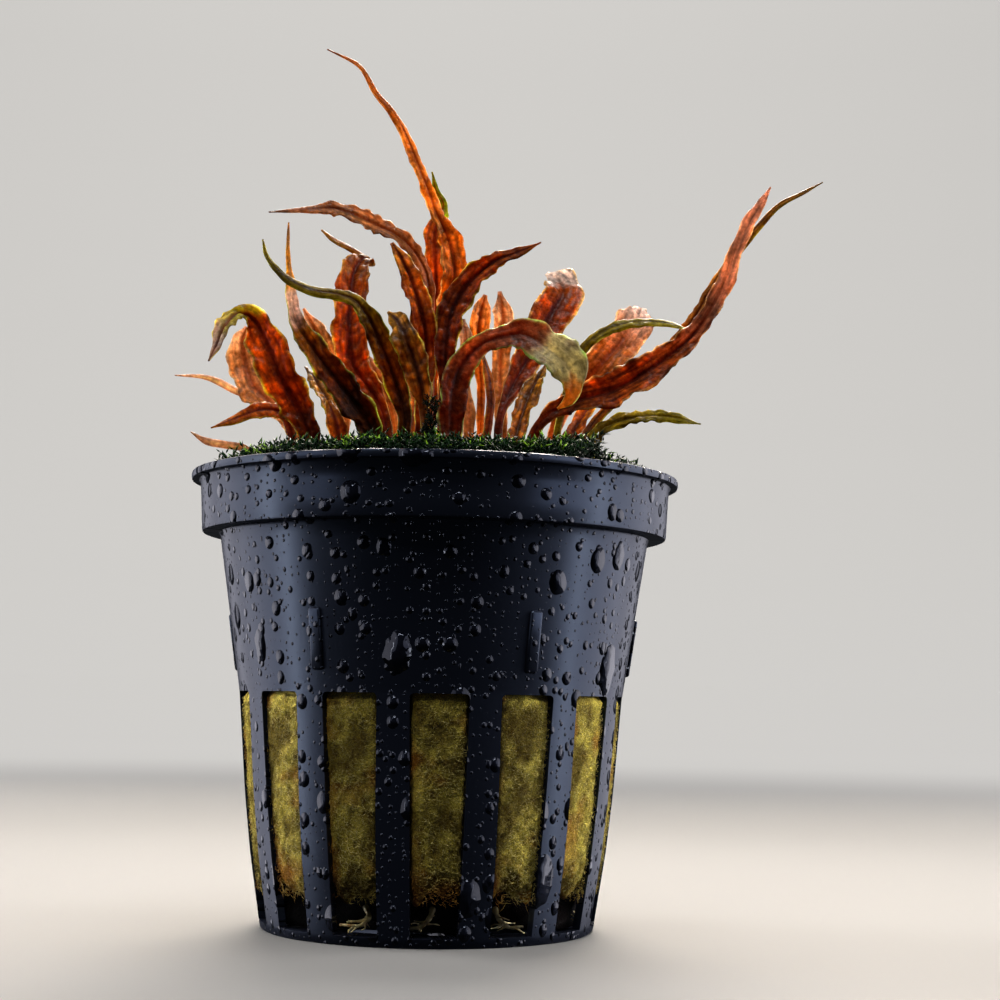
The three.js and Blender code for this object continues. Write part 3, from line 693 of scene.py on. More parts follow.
class Tissue(Enum):
    """The colourings that the plant's leaves have."""

    EMBER = LeafTissue(
        "orange", ((0.05, "#4a1a04"), (0.35, "#ac580e"), (0.75, "#c87818"), (1.0, "#c48a28")),
        "#ccb048", "#5a2004",
    )
    FLAME = LeafTissue(
        "orange", ((0.05, "#4e2004"), (0.3, "#cc7a20"), (0.75, "#e49838"), (1.0, "#d49a60")),
        "#dcb058", "#7a3a0a",
    )
    COPPER = LeafTissue(
        "orange", ((0.05, "#481804"), (0.3, "#8e4410"), (0.5, "#9c5018"), (0.64, "#a87050"),
        (0.85, "#b28064"), (1.0, "#b8866c")),
        "#c89c58", "#521c06", 0.6, 0.6, 0.72,
    )
    RUSSET = LeafTissue(
        "russet", ((0.05, "#5c2006"), (0.4, "#9c480c"), (0.75, "#b8620e"), (1.0, "#c8801c")),
        "#b09c2c", "#4c1403", 0.55,
    )
    GARNET = LeafTissue(
        "russet", ((0.05, "#4c1404"), (0.4, "#842e06"), (0.75, "#a04a0a"), (1.0, "#b8661a")),
        "#b09c2c", "#401002", 0.5,
    )
    PLUM = LeafTissue(
        "russet", ((0.05, "#300e04"), (0.4, "#8c4c1c"), (0.75, "#a06c3c"), (1.0, "#987048")),
        "#c09460", "#6a3412", 0.6,
    )
    OLIVE = LeafTissue(
        "olive", ((0.05, "#4a1e04"), (0.35, "#8c500c"), (0.55, "#806410"), (1.0, "#a49c3a")),
        "#acac32", "#3c1c02", 0.55, 0.5,
    )
    BRONZE = LeafTissue(
        "olive", ((0.05, "#5c2806"), (0.4, "#ac6414"), (0.8, "#a06a16"), (1.0, "#a87a28")),
        "#a29a2e", "#441f03", 0.55, 0.5,
    )
    SALMON = LeafTissue(
        "salmon", ((0.05, "#7a461a"), (0.4, "#bc8648"), (0.8, "#c69662"), (1.0, "#d0b090")),
        "#d4b488", "#965628", 0.62,
    )
    BLUSH = LeafTissue(
        "salmon", ((0.05, "#905e38"), (0.5, "#c8a084"), (1.0, "#d8bca8")),
        "#c8b080", "#a4724c", 0.65,
    )
    GREEN = LeafTissue(
        "green", ((0.05, "#402a08"), (0.5, "#8e7616"), (1.0, "#b0a834")),
        "#c4bc44", "#54440a", 0.6, 0.5,
    )
    GREEN_TIP = LeafTissue(
        "orange", ((0.05, "#4e1c04"), (0.4, "#c06418"), (0.8, "#cc7824"), (0.86, "#98b81c"),
        (1.0, "#8cb824")),
        "#b0a82c", "#742e08",
    )
    GOLD_TIP = LeafTissue(
        "orange", ((0.05, "#481804"), (0.3, "#a0500c"), (0.64, "#b86412"), (0.7, "#aca01c"),
        (0.82, "#b0a050"), (0.88, "#c4b0a0"), (1.0, "#a08468")),
        "#bcac3c", "#561e04",
    )
    CURLED_TIP = LeafTissue(
        "orange", ((0.05, "#4a1804"), (0.3, "#ac540e"), (0.6, "#b8620e"), (0.68, "#905018"),
        (0.76, "#c09030"), (1.0, "#cc9c34")),
        "#c8a03c", "#5e1a04",
    )
    ROSE_TIP = LeafTissue(
        "olive", ((0.05, "#301102"), (0.35, "#7c3a06"), (0.55, "#a0660e"), (0.6, "#c49c88"), (0.7, "#c8a48c"),
        (0.75, "#b87c14"), (0.87, "#b88020"), (1.0, "#906848")),
        "#a4a83a", "#3a1802", 0.58, 0.5, 0.6,
    )
    CAPPED = LeafTissue(
        "orange", ((0.05, "#4a1604"), (0.35, "#843408"), (0.6, "#a04c0a"), (0.84, "#aa520c"),
        (0.88, "#b8a498"), (1.0, "#c8b8ae")),
        "#c09c58", "#521604", 0.6, 0.35, 0.88,
    )
    PALE_TIP = LeafTissue(
        "orange", ((0.05, "#4e2004"), (0.3, "#b4682a"), (0.7, "#bc7830"), (0.84, "#c89c80"),
        (1.0, "#ccb4a8")),
        "#d0a878", "#8a4618", 0.62, 0.35, 0.85,
    )
    FRONT = LeafTissue(
        "russet", ((0.02, "#5e1c08"), (0.28, "#8c3c14"), (0.44, "#b46c44"), (0.6, "#8c4420"),
        (0.67, "#8c5c3c"), (0.74, "#a69a70"), (0.85, "#aca072"), (0.91, "#b27426"), (1.0, "#c07824")),
        "#9cb45c", "#5a2410", 0.6, 0.2, 0.68,
    )


# Pieces


@dataclass(frozen=True)
class Pot:
    """The round slotted pot: a turned wall with a lip, a collar and slots, a floor with holes, and bars.

    The rim and the height come from the frame. The directions of the first slot and the first bar are
    in degrees from the front towards +X.
    """

    rim_radius: float
    height: float
    wall: float = 0.9
    lip: float = 0.9
    base_radius: float = 18.4
    collar_bottom: float = 43.3
    collar_radius: float = 26.1
    side: tuple[Pair, ...] = ((18.4, 0.0), (19.75, 8.5), (20.5, 15.0), (21.4, 25.8), (24.1, 43.3))
    slot_count: int = 14
    first_slot: float = 2.3
    slot_top: float = 25.8
    slot_widths: Pair = (5.0, 6.2)
    slot_corner: float = 0.5
    slot_columns: int = 8
    floor: float = 1.0
    floor_gap: float = 0.02
    hole_count: int = 7
    hole_span: Pair = (6.0, 15.0)
    hole_columns: int = 12
    spoke: float = 2.6
    spoke_columns: int = 6
    bar_count: int = 6
    first_bar: float = -32.4
    bar_size: Triple = (1.4, 1.1, 6.5)
    bar_bottom: float = 28.0
    bar_radius: float = 22.6
    bar_lean: float = 8.5
    bar_columns: int = 24
    bar_roundness: float = 0.3
    smooth_below: float = 38.0

    @classmethod
    def from_frame(cls) -> Pot:
        """The pot with the rim and the height of the CAD pot."""
        low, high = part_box("pot")
        return cls(rim_radius=(high.x - low.x) / 2 / MM, height=high.z / MM)

    def outside(self, z: np.ndarray | float) -> np.ndarray:
        """The wall's outer radius at a height below the collar."""
        radii, heights = zip(*self.side)
        return np.interp(z, heights, radii)

    def half_slot(self, z: np.ndarray | float) -> np.ndarray:
        """Half of a slot's width, as an angle about the pot's axis.

        Args:
            z: heights.

        Returns:
            The angle at each height, which shrinks in the rounded corners at the slot's top.
        """
        low, high = self.slot_widths
        width = low + (high - low) * np.clip((z - self.floor) / (self.slot_top - self.floor), 0, 1)
        over = np.clip((z - self.slot_top + self.slot_corner) / self.slot_corner, 0, 1)
        inset = self.slot_corner * (1 - np.sqrt(1 - over**2))
        return (width / 2 - inset) / self.outside(np.minimum(z, self.slot_top))

    def off_slot(self, angle: np.ndarray) -> np.ndarray:
        """How far angles are from the middle of the nearest slot."""
        pitch = FULL_TURN / self.slot_count
        return (angle - math.radians(self.first_slot) + pitch / 2) % pitch - pitch / 2

    def wall_mesh(self) -> Mesh:
        """Builds the wall with its slots.

        Returns:
            The vertices and faces, from the foot's inner edge round the lip and back down.
        """
        foot, under, top, rim = self.base_radius, self.collar_bottom, self.height, self.rim_radius
        neck, collar, lip = self.outside(under), self.collar_radius, top - self.lip
        corner = [self.slot_top - share * self.slot_corner for share in (0.65, 0.35, 0.14, 0.03, 0.0)]
        levels = [*np.linspace(self.floor, self.slot_top - self.slot_corner, 14), *corner]
        above = self.slot_top + 0.6
        profile = [(foot - self.wall, 0.0), (foot - 0.25, 0.0), (foot, 0.25)]
        first = len(profile)
        profile += [(self.outside(z), z) for z in [*levels, *np.linspace(above, under - 0.25, 12)]]
        profile += [
            (neck + 0.1, under - 0.05), (neck + 0.35, under), (collar - 0.3, under),
            (collar - 0.08, under + 0.08), (collar, under + 0.3), (collar + 0.1, under + 2.0),
            (collar + 0.2, under + 4.0), (collar + 0.3, lip - 0.25), (collar + 0.5, lip),
            (rim - 0.25, lip), (rim - 0.06, lip + 0.08), (rim, lip + 0.3),
            (rim, top - 0.3), (rim - 0.08, top - 0.08), (rim - 0.3, top),
            (collar - 0.4, top), (collar - 0.65, top - 0.15),
            (collar - self.wall, under + self.wall + 0.2), (neck - self.wall, under - 0.4),
        ]
        down = [*np.linspace(under - 3, above, 6), *levels[::-1]]
        profile += [(self.outside(z) - self.wall, z) for z in down]
        slots = Holes(
            self.slot_count, self.slot_columns, self.slot_columns,
            out=first, back=len(profile) - len(levels), rings=len(levels) - 1,
        )
        turned = math.radians(self.first_slot)
        rings = [polar(turned + slots.angles(self.half_slot(z)), radius, z) for radius, z in profile]
        return loft(rings, slots, closed=True)

    def floor_mesh(self) -> Mesh:
        """Builds the floor, a disc with holes between its spokes.

        Returns:
            The vertices and faces, from the middle of the underside round the edge to the upper side's.
        """
        near, far = self.hole_span
        edge = self.base_radius - self.wall * 0.9
        radii = [0.8, 3.0, near, *np.linspace(near, far, 6)[1:], edge]
        first, last = radii.index(near), radii.index(far)
        holes = Holes(
            self.hole_count, self.hole_columns, self.spoke_columns,
            out=first, back=2 * len(radii) - 1 - last, rings=last - first,
        )
        rings = []
        for z, row in ((self.floor_gap, radii), (self.floor - self.floor_gap, radii[::-1])):
            for radius in row:
                half = FULL_TURN / self.hole_count / 2 - self.spoke / 2 / min(max(radius, near), far)
                rings.append(polar(math.pi / 2 + holes.angles(half), radius, z))
        return loft(rings, holes)

    def bar_mesh(self, angle: float) -> Mesh:
        """Builds one upright bar of the wall as a block with rounded edges.

        Args:
            angle: its direction from the front towards +X.

        Returns:
            The bar's vertices and faces.
        """
        size, tall = np.array(self.bar_size[:2]), self.bar_size[2]
        turn = turns(self.bar_columns)
        corner = np.stack([np.cos(turn), np.sin(turn)], 1)
        outline = np.sign(corner) * np.abs(corner) ** self.bar_roundness * size / 2
        edge = ((0.0, 0.3), (0.1, 0.1), (0.3, 0.0))
        rings = [
            np.insert(outline * (1 - 2 * inset / size), 2, z - tall / 2, axis=1)
            for z, inset in (*edge, *((tall - z, inset) for z, inset in edge[::-1]))
        ]
        points, faces = loft(rings)
        tilt = Matrix.Rotation(angle, 3, "Z") @ Matrix.Rotation(math.radians(self.bar_lean), 3, "X")
        middle = polar(angle, self.bar_radius - size[1] / 2, self.bar_bottom + tall / 2)
        return points @ np.array(tilt).T + middle, faces

    def build(self, finish: bpy.types.Material) -> None:
        """Builds the pot and puts it in the CAD pot's place.

        Args:
            finish: the pot's material.
        """
        bars = [self.bar_mesh(math.radians(self.first_bar) + turn) for turn in turns(self.bar_count)]
        pot = mesh_object("slotted_pot", joined(self.wall_mesh(), self.floor_mesh(), *bars))
        pot.data.set_sharp_from_angle(angle=math.radians(self.smooth_below))
        hand_over(pot, "pot", finish)


@dataclass(frozen=True)
class RockWool:
    """The plug of rock wool: a felted body that swells into the slots, with loose fibres on its face.

    The loose fibres are drawn about ten times as thick as real ones, which are too fine to show.
    """

    pot: Pot
    bottom: float = 5.2
    top: float = 49.4
    clearance: float = 0.35
    pad_inset: float = 0.04
    lump: float = 0.28
    core_radius: float = 13.0
    edge_reach: float = 1.6
    columns_per_slot: int = 48
    rings_in_slot: int = 22
    fibres_per_slot: int = 1750
    fibre_radius: float = 0.028
    long_share: float = 0.07
    wad_radius: float = 14.5
    wad_bottom: float = 1.15
    wad_reach: float = 17.6
    wad_columns: int = 90

    def radius(self, angle: np.ndarray, z: np.ndarray) -> np.ndarray:
        """The plug's radius: out to the wall's face in a slot, inside the wall behind a rib.

        Args:
            angle: directions from the front towards +X.
            z: heights.

        Returns:
            The radius at each of them.
        """
        outer = self.pot.outside(np.minimum(z, self.pot.collar_bottom))
        edge = self.pot.half_slot(np.minimum(z, self.pot.slot_top)) - self.pad_inset / outer
        inside = np.clip((edge - np.abs(self.pot.off_slot(angle))) * outer / 0.16, 0, 1)
        low_enough = np.clip((self.pot.slot_top - self.pad_inset - z) / 0.2, 0, 1)
        swell = smooth(inside) * low_enough
        behind = outer - self.pot.wall - self.clearance
        lumps = np.sin(angle * 41 + z * 0.9) * np.sin(z * 1.7 + angle * 13)
        lumps = lumps + 0.6 * np.sin(angle * 97 - z * 2.3)
        return behind + (outer - self.clearance - behind) * swell + self.lump * (0.35 * lumps - 0.3) * swell

    def edge_stain_and_shade(self, points: np.ndarray) -> np.ndarray:
        """How close points are to the left edge of their slot, where stain and painted shade from the rib
        gather.

        Args:
            points: the plug's vertices.

        Returns:
            For each one a share, from 0 where that stain and painted shade end to 1 at the edge.
        """
        x, y, z = points.T
        half = self.pot.half_slot(np.minimum(z, self.pot.slot_top))
        away = (self.pot.off_slot(np.arctan2(x, -y)) + half) * np.hypot(x, y)
        return np.clip(1 - away / self.edge_reach, 0, 1)

    def body(self) -> Mesh:
        """Builds the felted body.

        Returns:
            Its vertices and faces.
        """
        angle = turns(self.pot.slot_count * self.columns_per_slot)
        ragged = 0.7 * np.sin(angle * 17) + 0.5 * np.sin(angle * 43 + 1)
        rings = [polar(angle, self.core_radius, self.bottom + 1)]
        for share in np.linspace(0, 1, self.rings_in_slot):
            z = self.bottom + ragged * (1 - share) + (self.pot.slot_top + 0.3 - self.bottom) * share
            rings.append(polar(angle, self.radius(angle, z) - 1.1 * max(0.0, 1 - share * 14), z))
        for z in np.linspace(self.pot.slot_top + 2, self.top, 5):
            rings.append(polar(angle, self.radius(angle, z) - 0.8 * (z == self.top), z))
        return loft(rings)

    def wad(self) -> Mesh:
        """Builds the wad that hangs under the middle of the plug down to the pot's floor, near black all over
        as a painted shade for the dark gap inside the pot.

        Returns:
            Its vertices and faces.
        """
        angle = turns(self.wad_columns)
        away = np.abs((angle + math.pi) % FULL_TURN - math.pi)
        clumps = np.exp(-(((away - 1.1) / 0.35) ** 2)) + np.exp(-(((away - 2.1) / 0.45) ** 2))
        rings = []
        for z in np.linspace(self.wad_bottom, self.bottom + 3, 9):
            rough = 0.5 * np.sin(7 * angle + z) + 0.3 * np.sin(19 * angle - 2 * z) + 0.2 * np.sin(31 * angle)
            out = np.minimum(self.wad_radius + rough + 3.2 * clumps, self.wad_reach)
            rings.append(polar(angle, out - 0.5 * (z == self.wad_bottom), z))
        return loft(rings)

    def fibres(self, draw: np.random.Generator) -> Mesh:
        """Scatters loose fibres over the faces that the slots show and along the ragged foot.

        Args:
            draw: the source of chance.

        Returns:
            The fibres' vertices, five for each one, and faces.
        """
        slots = math.radians(self.pot.first_slot) + turns(self.pot.slot_count)
        slot = np.repeat(slots, self.fibres_per_slot)
        count = len(slot)
        z = self.bottom - 0.6 + (self.pot.slot_top - 0.5 - self.bottom) * draw.random(count) ** 1.05
        half = self.pot.half_slot(z) * 0.93
        off = half * (2 * draw.random(count) - 1)
        r = self.radius(slot + off, np.maximum(z, self.bottom)) + 0.02
        out, side, up = polar(slot + off), polar(slot + off + math.pi / 2), np.array([0.0, 0.0, 1.0])
        lean = draw.normal(0.0, 1.0, count)
        length = draw.uniform(0.35, 1.15, count) * np.where(draw.random(count) < self.long_share, 2.0, 1.0)
        room = (half - np.abs(off)) * r + 0.2
        sideways = np.clip(np.cos(lean) * length, -room, room)
        ways = side * sideways[:, None] + up * (np.sin(lean) * length * 0.8)[:, None]
        ways += out * draw.uniform(-0.08, 0.12, count)[:, None]
        bends = out * draw.uniform(0.02, 0.2, count)[:, None] + side * draw.normal(0, 0.12, count)[:, None]
        bends += up * draw.normal(0, 0.15, count)[:, None]
        thick = self.fibre_radius * draw.uniform(0.6, 1.25, count)
        starts = polar(slot + off, r, z)
        forward = unit(ways)
        aside = unit(np.cross(forward, unit(bends) + [0.013, 0.027, 0.041]))
        around = turns(3)[:, None]
        ring = aside[:, None] * np.cos(around) + np.cross(forward, aside)[:, None] * np.sin(around)
        middle = (starts + ways / 2 + bends)[:, None] + ring * thick[:, None, None]
        return spindles(np.concatenate([starts[:, None], middle, (starts + ways)[:, None]], 1))

    def build(self, finish: bpy.types.Material, draw: np.random.Generator) -> None:
        """Builds the plug and puts it in the CAD plug's place.

        Args:
            finish: the rock wool's material.
            draw: the source of chance.
        """
        body, wad, loose = self.body(), self.wad(), self.fibres(draw)
        bright = draw.random(len(loose[0]) // 5) ** 0.6
        fibre = np.outer(bright, 0.2 + 0.8 * np.sin(math.pi * np.array([0, 0.5, 0.5, 0.5, 1])))
        plug = joined(body, wad, loose)
        x, y, z = plug[0].T
        edge = self.edge_stain_and_shade(plug[0])
        # Near black: above the slots; the whole wad, a painted shade for the dark gap inside the pot; and the
        # lower corner by each slot's left edge, partly stain and partly the rib's painted shadow, more in
        # some slots than others.
        dark_above_slots = 0.85 * np.clip((body[0][:, 2] - self.pot.slot_top - 0.8) / 1.5, 0, 1)
        turned = 0.5 - 0.5 * np.sin(3 * np.arctan2(x, -y))
        corner = 0.8 * edge * turned * np.clip((self.bottom + 6 - z) / 5, 0, 1)
        attributes = {
            "fibre": np.append(np.zeros(len(body[0]) + len(wad[0])), fibre),
            "rot_and_shade": np.maximum(np.concatenate([dark_above_slots, np.ones(len(wad[0])), np.zeros(fibre.size)]), corner),
            "edge": edge,
        }
        hand_over(mesh_object("rock_wool_plug", plug, attributes), "rockwool", finish)


@dataclass(frozen=True)
class Moss:
    """The moss cover: a cushion under shoots that each carry a spiral of pointed leaves."""

    radius: float = 22.3
    bottom: float = 49.8
    edge_top: float = 51.3
    crown_top: float = 53.0
    overhang: float = 2.2
    shoots: int = 4250
    leaves_per_shoot: int = 7
    shoot_length: Pair = (1.2, 2.9)
    leaf_length: float = 0.82
    leaf_width: float = 0.32
    spire_shoots: int = 70
    spire_leaf: float = 0.62
    spire_vigour: float = 0.3
    cushion_columns: int = 120
    spire: tuple[Triple, ...] = (
        (-0.6, -12.6, 52.0), (-0.9, -12.9, 54.0), (-0.4, -12.7, 55.6), (-0.7, -12.9, 56.9)
    )

    @staticmethod
    def reach(turn: np.ndarray) -> np.ndarray:
        """How far the moss spreads in each direction, as a part of its radius."""
        return 1 + 0.035 * np.sin(2 * turn + 2.4) + 0.03 * np.sin(5 * turn) + 0.02 * np.sin(9 * turn + 1)

    def height(self, x: np.ndarray, y: np.ndarray) -> np.ndarray:
        """How high the tips stand: a low dome with lumps and a mound at the right front.

        Args:
            x: places to the right.
            y: places towards the back.

        Returns:
            The height over each place.
        """
        outwards = np.minimum(np.hypot(x, y) / 21, 1)
        dome = self.edge_top + (self.crown_top - self.edge_top) * np.cos(math.pi / 2 * outwards)
        mound = 1.7 * np.exp(-(((x - 16) / 4.5) ** 2 + ((y + 12.5) / 6) ** 2))
        lumps = 0.4 * np.sin(0.62 * x + 0.3) * np.cos(0.71 * y) + 0.3 * np.sin(1.5 * x - 0.9 * y)
        tufts = 0.45 * np.sin(2.3 * x + 1.1 * np.sin(1.3 * y)) * np.sin(2.1 * y + 1.2 * np.sin(1.7 * x))
        return dome + mound + lumps + tufts

    def cushion(self) -> Mesh:
        """Builds the cushion between the shoots, which stays below their tips and is coloured near black as
        painted shade.

        Returns:
            Its vertices and faces.
        """
        turn = turns(self.cushion_columns)
        rings = [polar(turn, (self.radius - inset) * self.reach(turn), self.bottom) for inset in (1.2, 0.7)]
        for radius in np.linspace(self.radius - 0.8, 0.6, 30):
            ring = polar(turn, radius * self.reach(turn))
            x, y, _ = ring.T
            rough = 0.25 * np.sin(5.1 * x + 1.2 * y) * np.sin(4.3 * y)
            sink = 1.3 + 0.4 * max(0.0, radius - self.radius + 2.5)
            ring[:, 2] = np.maximum(self.height(x, y) - sink + rough, self.bottom + 0.2)
            rings.append(ring)
        return loft(rings)

    def shoot_axes(self, draw: np.random.Generator) -> tuple[np.ndarray, np.ndarray, np.ndarray]:
        """Scatters the shoots.

        Args:
            draw: the source of chance.

        Returns:
            Where each shoot starts, the way from there to its tip, and the size of its leaves.
        """
        count = self.shoots
        turn = FULL_TURN * draw.random(count)
        share = np.sqrt(draw.random(count))
        overhang = self.overhang * (1 - 0.9 * np.maximum(np.sin(turn), 0))
        r = (self.radius + overhang) * self.reach(turn) * share
        tips = polar(turn, r)
        length = draw.uniform(*self.shoot_length, count)
        outward = polar(turn) * (share**6 * 0.55)[:, None]
        ways = unit(outward + draw.normal(0, 0.45, (count, 3)) * [1, 1, 0.2] + [0, 0, 1]) * length[:, None]
        droop = np.maximum(r - self.radius, 0) * 0.7
        tips[:, 2] = self.height(tips[:, 0], tips[:, 1]) - droop + draw.normal(0.05, 0.22, count)
        starts = tips - ways * [0.5, 0.5, 1]
        lowest = self.bottom + np.where(r > self.radius, -0.6, 0.05)
        starts[:, 2] = np.maximum(starts[:, 2], lowest)
        spire = spline(np.array(self.spire))
        climb = spire[draw.integers(0, len(spire), self.spire_shoots)]
        around = draw.normal(0, 1.0, (self.spire_shoots, 3)) * [0.6, 0.6, 0.5]
        starts = np.vstack([starts, climb + around * 0.25])
        ways = np.vstack([ways, unit(around + [0, 0, 0.9]) * 0.7])
        large = np.append(draw.uniform(0.8, 1.2, count), np.full(self.spire_shoots, self.spire_leaf))
        return starts, ways, large

    def leaves(self, draw: np.random.Generator) -> tuple[Mesh, np.ndarray]:
        """Sets a spiral of slim pointed leaves along every shoot.

        Args:
            draw: the source of chance.

        Returns:
            The leaves' vertices and faces, and how bright each vertex is.
        """
        starts, ways, large = self.shoot_axes(draw)
        count, steps = len(starts), self.leaves_per_shoot
        level = (np.arange(steps) + 0.5) / steps
        foot = starts[:, None] + ways[:, None] * level[:, None]
        forward = unit(ways)[:, None]
        aside = unit(np.cross(forward, draw.normal(0, 1, (count, 1, 3)) + 0.01))
        turn = (2.4 * np.arange(steps) + FULL_TURN * draw.random((count, 1)))[..., None]
        out = aside * np.cos(turn) + np.cross(forward, aside) * np.sin(turn)
        size = draw.uniform(0.7, 1.25, (count, steps, 1)) * large[:, None, None]
        tip = foot + (out * 0.75 + forward * 0.75) * self.leaf_length * size
        half = np.cross(forward, out) * self.leaf_width / 2 * size
        keel = (forward - out) * self.leaf_width * 0.3
        belly = foot + (tip - foot) * 0.35
        mesh = spindles(np.stack([foot, belly - half, belly + half, belly + keel, tip], 2))
        vigour = 0.25 + 0.75 * draw.random(count) ** 1.7
        vigour[large == self.spire_leaf] = self.spire_vigour
        # Each shoot is darker towards its foot, a painted shade between the shoots, and lighter at its
        # leaves' tips.
        bright = level[:, None] ** 1.6 * 0.7 + np.array([0, 0.1, 0.1, 0.1, 0.3])
        return mesh, vigour[:, None, None] * bright

    def build(self, finish: bpy.types.Material, draw: np.random.Generator) -> None:
        """Builds the moss and puts it in the CAD cushion's place.

        Args:
            finish: the moss's material.
            draw: the source of chance.
        """
        cushion = self.cushion()
        leaves, bright = self.leaves(draw)
        attributes = {"shoot": np.append(np.zeros(len(cushion[0])), bright)}
        hand_over(mesh_object("moss_cover", joined(cushion, leaves), attributes), "moss", finish)


@dataclass(frozen=True)
class Root:
    """One root that hangs out of the rock wool, with finer roots leaving it."""

    node: str
    route: tuple[Triple, ...]
    radius: float = 0.32
    branches: int = 7
    lowest: float = 1.35
    columns: int = 10

    def tube(self, curve: np.ndarray, start: float, end: float) -> Mesh:
        """Builds a round tube along a curve.

        Args:
            curve: the tube's middle.
            start: its first radius.
            end: its last radius.

        Returns:
            Its vertices and faces.
        """
        forward = unit(np.gradient(curve, axis=0))
        aside = unit(np.cross(forward, [0.31, 0.17, 0.94]))
        turn = turns(self.columns)[:, None]
        knobs = 1 + 0.12 * np.sin(np.arange(len(curve)) * 0.9)
        thick = np.linspace(start, end, len(curve)) * knobs
        ring = aside[:, None] * np.cos(turn) + np.cross(forward, aside)[:, None] * np.sin(turn)
        return loft(curve[:, None] + ring * thick[:, None, None])

    def build(self, finish: bpy.types.Material, draw: np.random.Generator) -> None:
        """Builds the root with its branches and puts it in the CAD root's place.

        Args:
            finish: the root's material.
            draw: the source of chance.
        """
        main = spline(np.array(self.route), 9)
        tubes = [self.tube(main, self.radius, self.radius * 0.5)]
        for k in range(self.branches):
            at = main[int(len(main) * (0.25 + 0.6 * k / self.branches))]
            way = unit(draw.normal(0, 1, 3) * [1, 1, 0.1] + [0, -0.4, -0.25])
            far = at + way * draw.uniform(1.0, 2.6)
            far[2] = max(far[2], self.lowest)
            bend = (at + far) / 2 + draw.normal(0, 0.2, 3)
            bend[2] = max(bend[2], self.lowest + 0.05)
            branch = spline(np.array([at, bend, far]), 7)
            tubes.append(self.tube(branch, self.radius * 0.4, self.radius * 0.18))
        hand_over(mesh_object(f"{self.node}_with_branches", joined(*tubes)), self.node, finish)


